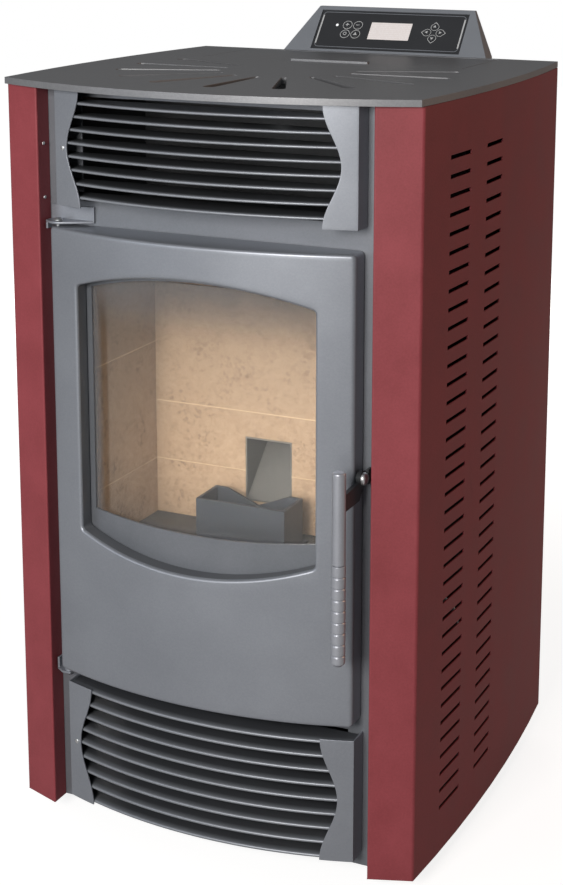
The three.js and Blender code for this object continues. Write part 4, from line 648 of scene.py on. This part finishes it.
doorSkin = {"roll": 0.0040, "sheet": 0.0020, "corner": 0.0055, "rear": doorHigh[1], "rings": 14,
            "rollSteps": 6, "cornerSteps": 6, "sideSteps": 24, "acrossSteps": 48,
            "pinHole": (-0.198, -0.25875, 0.0033),  # x, y and radius
            "boltHole": (-0.25975, 0.519, 0.0043),  # y, z and radius
            "drillLength": 0.012, "drillSides": 24}
window = {"half": 0.1575, "low": 0.408, "high": 0.716, "drop": 0.028, "rise": 0.024, "corner": 0.0060,
          "wall": 0.021}


def bowY(x, inset=0.0):
    # the bowed front's depth at x from its own middle, set back by inset
    return bowFront + bowRadius - math.sqrt((bowRadius - inset) ** 2 - x ** 2)


def doorOutline(inset):
    # the door's rounded rectangle, taken in by inset, from the lower right corner's end upwards
    half = bowHalf - inset
    low, high = doorLow[2] + inset, doorHigh[2] - inset
    corner = doorSkin["corner"] - inset
    side, across, turn = doorSkin["sideSteps"], doorSkin["acrossSteps"], doorSkin["cornerSteps"]
    x, top, bottom = half - corner, high - corner, low + corner
    return (straight((half, bottom), (half, top), side)
            + arc((x, top), corner, 0, quarterTurn, turn)
            + straight((x, high), (-x, high), across)
            + arc((-x, top), corner, quarterTurn, 2 * quarterTurn, turn)
            + straight((-half, top), (-half, bottom), side)
            + arc((-x, bottom), corner, 2 * quarterTurn, 3 * quarterTurn, turn)
            + straight((-x, low), (x, low), across)
            + arc((x, bottom), corner, 3 * quarterTurn, 4 * quarterTurn, turn))


def windowOutline(outset):
    # the window: upright sides, an arched top, a sagging bottom and four small fillets
    half, corner = window["half"], window["corner"]
    side, across, turn = doorSkin["sideSteps"], doorSkin["acrossSteps"], doorSkin["cornerSteps"]
    bows = []
    for edge, reach, up in ((window["high"], window["rise"], 1), (window["low"], window["drop"], -1)):
        radius = (half ** 2 + reach ** 2) / (2 * reach)
        middle = edge + up * (reach - radius)
        lift = math.sqrt((radius - corner) ** 2 - (half - corner) ** 2)
        bows.append((middle, radius, middle + up * lift, math.atan2(lift, half - corner)))
    (topMiddle, topRadius, topFillet, topAngle), (lowMiddle, lowRadius, lowFillet, lowAngle) = bows
    x, fillet, halfTurn, fullTurn = half - corner, corner + outset, math.pi, 2 * math.pi
    return (straight((half + outset, lowFillet), (half + outset, topFillet), side)
            + arc((x, topFillet), fillet, 0, topAngle, turn)
            + arc((0, topMiddle), topRadius + outset, topAngle, halfTurn - topAngle, across)
            + arc((-x, topFillet), fillet, halfTurn - topAngle, halfTurn, turn)
            + straight((-half - outset, topFillet), (-half - outset, lowFillet), side)
            + arc((-x, lowFillet), fillet, halfTurn, halfTurn + lowAngle, turn)
            + arc((0, lowMiddle), lowRadius + outset, halfTurn + lowAngle, fullTurn - lowAngle, across)
            + arc((x, lowFillet), fillet, fullTurn - lowAngle, fullTurn, turn))


def doorRings():
    # the pressed sheet's section, once round: front, window wall, back of the sheet, flank
    roll, sheet, count = doorSkin["roll"], doorSkin["sheet"], doorSkin["rings"]
    turns = [quarterTurn * i / doorSkin["rollSteps"] for i in range(doorSkin["rollSteps"] + 1)]
    rings = []

    def add(outline, depth=None):
        rings.append([(doorMiddle + x, doorSkin["rear"] if depth is None else bowY(x) + depth, z)
                      for x, z in outline])

    def between(share, depth):
        add([(a[0] + (b[0] - a[0]) * share, a[1] + (b[1] - a[1]) * share)
             for a, b in zip(doorOutline(roll), windowOutline(roll))], depth)

    def rolled(outline, setBack, angles):
        size = roll - setBack
        for t in angles:
            add(outline(setBack + size * (1 - math.sin(t))), setBack + size * (1 - math.cos(t)))

    for i in range(count):
        between(i / count, 0.0)
    rolled(windowOutline, 0.0, turns)
    add(windowOutline(0.0), window["wall"])
    add(windowOutline(sheet), window["wall"])
    rolled(windowOutline, sheet, reversed(turns))
    for i in range(1, count + 1):
        between(1 - i / count, sheet)
    rolled(doorOutline, sheet, turns[1:])
    add(doorOutline(sheet))
    add(doorOutline(0.0))
    rolled(doorOutline, 0.0, reversed(turns[1:]))
    return rings


def doorDrill():
    # the holes for the two hinge pins and the handle's bolt
    mesh = bpy.data.meshes.new("drill")
    pinX, pinY, pinRadius = doorSkin["pinHole"]
    boltY, boltZ, boltRadius = doorSkin["boltHole"]
    with editing(mesh) as bm:
        for place, radius, tilt in (((pinX, pinY, doorLow[2]), pinRadius, 0.0),
                                    ((pinX, pinY, doorHigh[2]), pinRadius, 0.0),
                                    ((doorHigh[0], boltY, boltZ), boltRadius, quarterTurn)):
            bmesh.ops.create_cone(bm, cap_ends=True, segments=doorSkin["drillSides"], radius1=radius,
                                  radius2=radius, depth=doorSkin["drillLength"],
                                  matrix=Matrix.Translation(place) @ Matrix.Rotation(tilt, 4, "Y"))
    return newObject("drill", mesh)


def makeDoorSkin():
    rings = doorRings()
    count = len(rings[0])
    mesh = plainMesh("door_skin_pressed", [point for ring in rings for point in ring],
                     ringFaces(len(rings), count, closed=True))
    # the window's wall and its rim take the second look, a darker paint that is painted shade
    wallStart = doorSkin["rings"] + doorSkin["rollSteps"]
    for number, face in enumerate(mesh.polygons):
        face.material_index = int(wallStart <= number // count <= wallStart + 1)
    for look in ("grey_paint", "revealShadePaint"):
        mesh.materials.append(finish[look])
    solid = newObject("door_skin_solid", finishMesh(mesh, smooth=False))
    drill = doorDrill()
    holes = solid.modifiers.new("holes", "BOOLEAN")
    holes.object = drill
    holes.operation = "DIFFERENCE"
    drilled = bpy.data.meshes.new_from_object(solid.evaluated_get(bpy.context.evaluated_depsgraph_get()))
    for old in (solid, drill):
        bpy.data.objects.remove(old)
    attach(newObject("door_skin_pressed", finishMesh(drilled, outward=False, creased=True)), "door_skin")


makeDoorSkin()
print("door made")


# Geometry Nodes: trees that set copies of one base in a row or along a loop

def geometryTree(name, inputs):
    tree = bpy.data.node_groups.new(name, "GeometryNodeTree")
    tree.interface.new_socket("Geometry", in_out="INPUT", socket_type="NodeSocketGeometry")
    for label, kind in inputs.items():
        tree.interface.new_socket(label, in_out="INPUT", socket_type="NodeSocket" + kind)
    tree.interface.new_socket("Material", in_out="INPUT", socket_type="NodeSocketMaterial")
    tree.interface.new_socket("Geometry", in_out="OUTPUT", socket_type="NodeSocketGeometry")
    return tree, addNode(tree, "NodeGroupInput")


def planted(tree, given, links):
    # ends a tree: copies on its points, made real and painted
    copies = addNode(tree, "GeometryNodeInstanceOnPoints", {}, links)
    real = addNode(tree, "GeometryNodeRealizeInstances", {}, {0: copies.outputs[0]})
    painted = addNode(tree, "GeometryNodeSetMaterial", {}, {
        "Geometry": real.outputs[0], "Material": given.outputs["Material"]})
    addNode(tree, "NodeGroupOutput", {}, {0: painted.outputs[0]})
    return tree


def rowTree():
    # Count copies of the base from Start, Step apart, each turned by Turn
    tree, given = geometryTree("evenRow", {"Count": "Int", "Start": "Vector", "Step": "Vector",
                                           "Turn": "Vector"})
    line = addNode(tree, "GeometryNodeMeshLine", {"mode": "OFFSET"}, {
        "Count": given.outputs["Count"], "Start Location": given.outputs["Start"],
        "Offset": given.outputs["Step"]})
    points = addNode(tree, "GeometryNodeMeshToPoints", {}, {0: line.outputs[0]})
    return planted(tree, given, {"Points": points.outputs[0], "Instance": given.outputs["Geometry"],
                                 "Rotation": given.outputs["Turn"]})


def ropeTree():
    # copies of the strand, Pitch apart along the loop, each turned to the loop's direction
    tree, given = geometryTree("laidRope", {"Strand": "Object", "Pitch": "Float"})
    curve = addNode(tree, "GeometryNodeMeshToCurve", {}, {0: given.outputs["Geometry"]})
    even = addNode(tree, "GeometryNodeResampleCurve", {"mode": "LENGTH"}, {
        "Curve": curve.outputs[0], "Length": given.outputs["Pitch"]})
    tangent = addNode(tree, "GeometryNodeInputTangent")
    turn = addNode(tree, "FunctionNodeAlignRotationToVector", {"axis": "X", "pivot_axis": "Y"},
                   {"Vector": tangent.outputs[0]})
    strand = addNode(tree, "GeometryNodeObjectInfo", {}, {"Object": given.outputs["Strand"]})
    return planted(tree, given, {"Points": even.outputs[0], "Instance": strand.outputs["Geometry"],
                                 "Rotation": turn.outputs[0]})


def grown(name, base, tree, values, look):
    # runs a Geometry Nodes tree on base and returns its result as a plain mesh piece
    host = newObject(name + "_host", base)
    modifier = host.modifiers.new("grow", "NODES")
    modifier.node_group = tree
    sockets = {s.name: s.identifier for s in tree.interface.items_tree
               if s.item_type == "SOCKET" and s.in_out == "INPUT"}
    for label, value in {**values, "Material": finish[look]}.items():
        modifier[sockets[label]] = value
    bpy.context.view_layer.update()
    mesh = bpy.data.meshes.new_from_object(host.evaluated_get(bpy.context.evaluated_depsgraph_get()))
    mesh.name = name
    bpy.data.objects.remove(host)
    return newObject(name, mesh)


evenRow = rowTree()


# grilles: bowed blades between two waved cheeks

grilles = {
    "upper_grille": {"blades": 8, "first": 0.012, "pitch": 0.0161, "thick": 0.0034},
    "lower_grille": {"blades": 9, "first": 0.0033, "pitch": 0.0186, "thick": 0.0042},
}
grilleShape = {"cheek": 0.0395, "wave": 0.0207, "sheet": 0.002, "litDepth": 0.011, "recess": 0.0025,
               "bladeRear": 0.005, "wallRear": 0.0003, "rows": 40, "columns": 10, "cutEdge": 0.5,
               "bladeSteps": 48, "rollSteps": 6, "partLit": 0.25}  # cutEdge in mm


def bladeMesh(half, middle, thickness):
    # one blade: bowed, its front edge rolled round, with painted shade on its faces behind litDepth
    steps, rounds, radius = grilleShape["bladeSteps"], grilleShape["rollSteps"], thickness / 2
    rear = frameFront - grilleShape["bladeRear"]
    points = []
    for i in range(steps + 1):
        x = -half + 2 * half * i / steps
        front = bowY(x, grilleShape["recess"])
        behind = front + grilleShape["litDepth"]
        section = [(rear, radius), (behind, radius)]
        for j in range(rounds + 1):
            t = quarterTurn + math.pi * j / rounds
            section.append((front + radius + radius * math.cos(t), radius * math.sin(t)))
        section += [(behind, -radius), (rear, -radius)]
        points += [(middle + x, y, z) for y, z in section]
    mesh = plainMesh("blade", points, ringFaces(steps + 1, len(section)))
    # mask for the painted shade: 1 round the lit front edge, falling to 0 towards the rear
    partLit = grilleShape["partLit"]
    litShares = [0.0, partLit] + [1.0] * (rounds + 1) + [partLit, 0.0]
    mesh.attributes.new("litFront", "FLOAT", "POINT").data.foreach_set("value", litShares * (steps + 1))
    return finishMesh(mesh, creased=True)


def cheekMesh(side, low, high, half, middle):
    # one cheek: a grid on the bowed front whose inner edge waves, and the wall that returns to the frame
    rows, columns = grilleShape["rows"], grilleShape["columns"]
    inner = half - grilleShape["cheek"]
    front, rear = bowY(half), frameFront - grilleShape["wallRear"]
    points = []
    for r in range(rows + 1):
        z = low + (high - low) * r / rows
        edge = inner + grilleShape["wave"] * math.sin(math.pi * r / rows) ** 2
        xs = [edge + (half - edge) * c / columns for c in range(columns + 1)]
        points += [(middle + side * x, bowY(x), z) for x in xs]
        points += [(middle + side * half, y, z) for y in ((front + rear) / 2, rear)]
    wide = columns + 3
    corners = [r * wide + c for r in range(rows) for c in range(wide - 1)]
    mesh = finishMesh(plainMesh("cheek", points, [(a, a + 1, a + 1 + wide, a + wide) for a in corners]))
    if sum(face.normal.y * face.area for face in mesh.polygons) > 0:  # its front looks towards -y
        mesh.flip_normals()
    return mesh


def makeGrille(node, setup):
    low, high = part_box(node)
    half, middle = (high[0] - low[0]) / 2, (high[0] + low[0]) / 2
    blade = bladeMesh(half - grilleShape["sheet"] / 2, middle, setup["thick"])
    blades = grown(node + "_blades", blade, evenRow, {
        "Count": setup["blades"], "Start": (0.0, 0.0, low[2] + setup["first"]),
        "Step": (0.0, 0.0, setup["pitch"]), "Turn": (0.0, 0.0, 0.0)}, "bladeShadedPaint")
    attach(blades, node)
    for side, word in ((-1, "left"), (1, "right")):
        piece = newObject(f"{node}_{word}_cheek", cheekMesh(side, low[2], high[2], half, middle))
        piece.data.materials.append(finish["grey_paint"])
        thick = piece.modifiers.new("sheet", "SOLIDIFY")
        thick.thickness = grilleShape["sheet"]
        thick.offset = -1
        roundEdges(piece, grilleShape["cutEdge"])
        attach(piece, node)


for node, setup in grilles.items():
    makeGrille(node, setup)
print("grilles made")


# handle: plain rod above, grooved grip below

for node, width, look in (("handle_rod", 1.2, "rodPaint"), ("handle_grip", 0.6, "rodPaint"),
                          ("handle_bolt", 0.5, "fastener")):
    dressed(node, width, look=look)
print("handle made")


# screws and rivets: one head each, set out along a row

rearScrews = {"radius": 0.0045, "height": 0.0026, "socket": 0.0017, "depth": 0.0014, "count": 6,
              "inset": 0.012, "lowest": 0.06, "highest": 0.92}
rivets = {"radius": 0.0032, "height": 0.0014, "inset": 0.0125}
pivotNut = {"radius": 0.0076, "height": 0.0064, "seat": 0.0003}
pillarScrews = {"radius": 0.0022, "height": 0.0015, "socket": 0.0009, "depth": 0.0008, "x": -0.219,
                "depthPlace": 0.0135, "heights": (0.882, 0.816)}
headShape = {"sides": 36, "rounds": 5, "land": 1.25, "skirt": 0.35}  # shares of the socket and height


def headMesh(radius, height, socket=0.0, depth=0.0):
    # domed head standing on z = 0; a hexagon socket is sunk in it where socket is not zero
    sides, rounds, skirt = headShape["sides"], headShape["rounds"], headShape["skirt"]
    rings = [[(radius, 0.0)] * sides]
    top = socket * headShape["land"]
    for j in range(rounds + 1):
        t = quarterTurn * j / rounds
        rings.append([(top + (radius - top) * math.cos(t),
                       height * (skirt + (1 - skirt) * math.sin(t)))] * sides)
    if socket:
        hexagon = [socket / math.cos((i % 6 - 3) * 2 * math.pi / sides) for i in range(sides)]
        rings.append([(reach, height) for reach in hexagon])
        rings.append([(reach, height - depth) for reach in hexagon])
    points = [(reach * math.cos(2 * math.pi * i / sides), reach * math.sin(2 * math.pi * i / sides), z)
              for ring in rings for i, (reach, z) in enumerate(ring)]
    mesh = plainMesh("head", points, ringFaces(len(rings), sides))
    return finishMesh(mesh, weld=0.01, creased=True)


def fasteners(name, node, shape, start, turn, count=1, step=(0.0, 0.0, 0.0)):
    head = headMesh(*(shape[key] for key in ("radius", "height", "socket", "depth") if key in shape))
    values = {"Count": count, "Start": start, "Step": step, "Turn": turn}
    attach(grown(name, head, evenRow, values, "fastener"), node, stands=False)


rearLow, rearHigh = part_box("rear_panel")
rearStep = (rearScrews["highest"] - rearScrews["lowest"]) / (rearScrews["count"] - 1)
for x, word in ((rearLow[0] + rearScrews["inset"], "right"), (rearHigh[0] - rearScrews["inset"], "left")):
    fasteners(f"rear_panel_{word}_screws", "rear_panel", rearScrews, (x, rearHigh[1], rearScrews["lowest"]),
              (-quarterTurn, 0.0, 0.0), rearScrews["count"], (0.0, 0.0, rearStep))
for node in grilles:
    low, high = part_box(node)
    fromMiddle = (high[0] - low[0]) / 2 - rivets["inset"]
    place = ((high[0] + low[0]) / 2 - fromMiddle, bowY(fromMiddle), (low[2] + high[2]) / 2)
    fasteners(node + "_rivet", node, rivets, place, (quarterTurn, 0.0, -math.asin(fromMiddle / bowRadius)))
firstHeight, lastHeight = pillarScrews["heights"]
fasteners("pillar_screws", "left_side_panel", pillarScrews,
          (pillarScrews["x"], frameFront - pillarScrews["depthPlace"], firstHeight),
          (0.0, quarterTurn, 0.0), len(pillarScrews["heights"]), (0.0, 0.0, lastHeight - firstHeight))
boltLow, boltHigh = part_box("handle_bolt")
fasteners("handle_bolt_nut", "handle_bolt", pivotNut,
          (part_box("handle_lever")[1][0] + pivotNut["seat"], (boltLow[1] + boltHigh[1]) / 2,
           (boltLow[2] + boltHigh[2]) / 2), (0.0, quarterTurn, 0.0))
print("screws and rivets set")


# rope gasket: laid strands along a loop

rope = {"pitch": 0.0032, "lay": 38, "long": 0.0054, "thick": 0.0018, "deep": 0.0021, "width": 0.008,
        "corner": 0.012, "cornerSteps": 6}


def strandMesh():
    # one strand of the rope: a long bead, leaning by the rope's lay
    mesh = bpy.data.meshes.new("strand")
    lay = math.radians(rope["lay"])
    with editing(mesh) as bm:
        bmesh.ops.create_uvsphere(bm, u_segments=10, v_segments=6, radius=1.0)
        for vert in bm.verts:
            x, y, z = vert.co.z * rope["long"], vert.co.y * rope["deep"], vert.co.x * rope["thick"]
            vert.co = (x * math.cos(lay) - z * math.sin(lay), y, x * math.sin(lay) + z * math.cos(lay))
    return finishMesh(mesh)  # swapping the axes turned the bead inside out, and this turns it back


def makeRope():
    low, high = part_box("door_gasket")
    half, depth = rope["width"] / 2, (low[1] + high[1]) / 2
    points = [(x, depth, z) for x, z in roundedRectangle(
        low[0] + half, high[0] - half, low[2] + half, high[2] - half, rope["corner"], rope["cornerSteps"])]
    loop = plainMesh("gasketLoop", points, edges=[(i, (i + 1) % len(points)) for i in range(len(points))])
    strand = newObject("strand", strandMesh())
    piece = grown("door_gasket_rope", loop, ropeTree(), {"Strand": strand, "Pitch": rope["pitch"]}, "rope")
    bpy.data.objects.remove(strand)
    attach(piece, "door_gasket")


makeRope()
print("gasket made")


# painted highlights: pale strips in the joints between the firebrick courses

joints = {"firstCourse": 0.075, "course": 0.080, "width": 0.0015, "proud": 0.0003, "sunk": 0.0012,
          "sideBoard": 0.026,  # the back's joints stop at the side boards
          "chuteTop": 0.5,  # and, below this height, at the chute's mouth
          "brick_back": (0, 1), "brick_left": (0, 2), "brick_right": (0, 2)}


def boxMesh(name, low, high):
    points = [(x, y, z) for x in (low[0], high[0]) for y in (low[1], high[1]) for z in (low[2], high[2])]
    faces = [(0, 1, 3, 2), (4, 6, 7, 5), (0, 4, 5, 1), (2, 3, 7, 6), (0, 2, 6, 4), (1, 5, 7, 3)]
    return plainMesh(name, points, faces)


def makeJoints(node):
    low, high = (list(corner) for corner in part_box(node))
    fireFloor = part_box("brick_left")[0][2]
    chuteLow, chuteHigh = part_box("feed_chute")
    if node == "brick_back":
        low[0] += joints["sideBoard"]
        high[0] -= joints["sideBoard"]
        low[1], high[1] = low[1] - joints["proud"], low[1] + joints["sunk"]
    elif node == "brick_left":
        low[0], high[0] = high[0] - joints["sunk"], high[0] + joints["proud"]
    else:
        low[0], high[0] = low[0] - joints["proud"], low[0] + joints["sunk"]
    number = 0
    for course in joints[node]:
        z = fireFloor + joints["firstCourse"] + course * joints["course"]
        runs = [(low[0], high[0])]
        if node == "brick_back" and z < joints["chuteTop"]:
            runs = [(low[0], chuteLow[0]), (chuteHigh[0], high[0])]
        for start, end in runs:
            number += 1
            piece = newObject(f"{node}_joint_{number}", boxMesh(
                "joint", (start, low[1], z - joints["width"] / 2), (end, high[1], z + joints["width"] / 2)))
            # painted highlight: a pale strip where the course's edge catches the light
            piece.data.materials.append(finish["jointHighlight"])
            attach(piece, node, stands=False)


for node in ("brick_back", "brick_left", "brick_right"):
    makeJoints(node)
print("brick joints pointed")


# console: carried pieces, then what is printed on the face

arrowWords = ("right", "up", "left", "down")
consoleEdges = {"housing": 2.2, "key": 0.3}  # mm
dressed("console_housing", consoleEdges["housing"], segments=3)
for key in [f"round_button_{i}" for i in range(1, 5)] + [f"arrow_key_{word}" for word in arrowWords]:
    dressed(key, consoleEdges["key"])

console = {"tilt": 50, "faceMiddle": 0.039, "faceDepth": 0.0025, "face": -0.001, "key": 0.0,
           "ink": 0.00012, "ring": (0.0073, 0.0065), "ringSteps": 28,
           "buttons": ((-0.06765, 0.0481), (-0.05135, 0.0481), (-0.06765, 0.0323), (-0.05135, 0.0323)),
           "pad": (0.067, 0.040), "outline": (0.0006, 0.0013),
           "status": (-0.084, 0.0475), "statusRadius": 0.0021}
petal = {"reach": 0.010, "radius": 0.005, "tip": 0.016, "from": math.pi / 3, "to": 5 * math.pi / 3,
         "steps": 16}
marks = {"long": 0.0056, "thin": 0.0011, "dial": (0.0027, 0.0018),
         "triangle": ((-0.003, -0.002), (0.003, -0.002), (0, 0.0032)),
         "arrow": ((0.0128, 0.0), (0.0088, 0.0024), (0.0088, -0.0024))}
border = {"left": -0.1105, "right": 0.1105, "low": 0.0085, "high": 0.0705, "radius": 0.006,
          "width": 0.0009, "cornerSteps": 8, "strip": (0.0022, 0.05), "stripInset": 0.0012}
tilt = math.radians(console["tilt"])
alongFace = Vector((0, math.cos(tilt), math.sin(tilt)))
offFace = Vector((0, -math.sin(tilt), math.cos(tilt)))
faceBoxLow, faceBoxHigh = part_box("console_face")
faceOrigin = ((Vector(faceBoxLow) + Vector(faceBoxHigh)) / 2 - alongFace * console["faceMiddle"]
              + offFace * console["faceDepth"])
onPlate, onKey = console["face"], console["key"]  # heights that the ink lies at


def printed(name, node, loops, faces, look):
    # ink between loops, each an outline and its height: x to the right, y up the slope
    points = [faceOrigin + Vector((x, 0, 0)) + alongFace * y + offFace * height
              for outline, height in loops for x, y in outline]
    mesh = finishMesh(plainMesh(name, points, faces), smooth=False)
    mesh.materials.append(finish[look])
    attach(newObject(name, mesh), node, stands=False)


def printedBand(name, node, outer, inner, height, look="ink"):
    # a thin band of ink between two outlines of the same count
    top = height + console["ink"]
    printed(name, node, ((outer, height), (outer, top), (inner, top), (inner, height)),
            ringFaces(4, len(outer), closed=True), look)


def printedPatch(name, node, outline, height, look="ink"):
    # a thin filled patch of ink
    printed(name, node, ((outline, height), (outline, height + console["ink"])),
            ringFaces(2, len(outline)), look)


def circle(middle, radius):
    return arc(middle, radius, 0, 2 * math.pi, console["ringSteps"])


def bar(middle, width, height):
    corners = ((-1, -1), (1, -1), (1, 1), (-1, 1))
    return turned([(a * width / 2, b * height / 2) for a, b in corners], middle, 0)


def petalOutline(turn, margin):
    # outline of one arrow key, its tip pointing away from the pad's middle
    points = [(petal["tip"] + 2 * margin, 0.0)]
    for i in range(petal["steps"] + 1):
        t = petal["from"] + (petal["to"] - petal["from"]) * i / petal["steps"]
        points.append((petal["reach"] + (petal["radius"] + margin) * math.cos(t),
                       (petal["radius"] + margin) * math.sin(t)))
    return turned(points, console["pad"], turn * quarterTurn)


def borderOutline(inset):
    return roundedRectangle(border["left"] + inset, border["right"] - inset, border["low"] + inset,
                            border["high"] - inset, border["radius"] - inset, border["cornerSteps"])


for i, place in enumerate(console["buttons"], 1):
    ringOut, ringIn = console["ring"]
    printedBand(f"round_button_{i}_ring", "console_face", circle(place, ringOut), circle(place, ringIn),
                onPlate)
plusPlace, minusPlace, dialPlace, levelPlace = console["buttons"]
dialOut, dialIn = marks["dial"]
printedPatch("round_button_1_bar", "round_button_1", bar(plusPlace, marks["long"], marks["thin"]), onKey)
printedPatch("round_button_1_post", "round_button_1", bar(plusPlace, marks["thin"], marks["long"]),
             onKey + console["ink"])
printedPatch("round_button_2_bar", "round_button_2", bar(minusPlace, marks["long"], marks["thin"]), onKey)
printedBand("round_button_3_dial", "round_button_3", circle(dialPlace, dialOut), circle(dialPlace, dialIn),
            onKey)
printedPatch("round_button_4_mark", "round_button_4", turned(marks["triangle"], levelPlace, 0), onKey)
for turn, word in enumerate(arrowWords):
    narrow, wide = console["outline"]
    printedBand(f"arrow_key_{word}_outline", "console_face", petalOutline(turn, wide),
                petalOutline(turn, narrow), onPlate)
    printedPatch(f"arrow_key_{word}_arrow", f"arrow_key_{word}",
                 turned(marks["arrow"], console["pad"], turn * quarterTurn), onKey)
printedBand("console_border", "console_face", borderOutline(0.0), borderOutline(border["width"]), onPlate,
            "border")
for x, word in ((border["left"] + border["stripInset"], "left"),
                (border["right"] - border["stripInset"], "right")):
    printedPatch(f"console_{word}_strip", "console_face",
                 bar((x, (border["low"] + border["high"]) / 2), *border["strip"]), onPlate + console["ink"])
printedPatch("console_status_light", "console_face", circle(console["status"], console["statusRadius"]),
             onPlate, "statusLight")
print("console made")
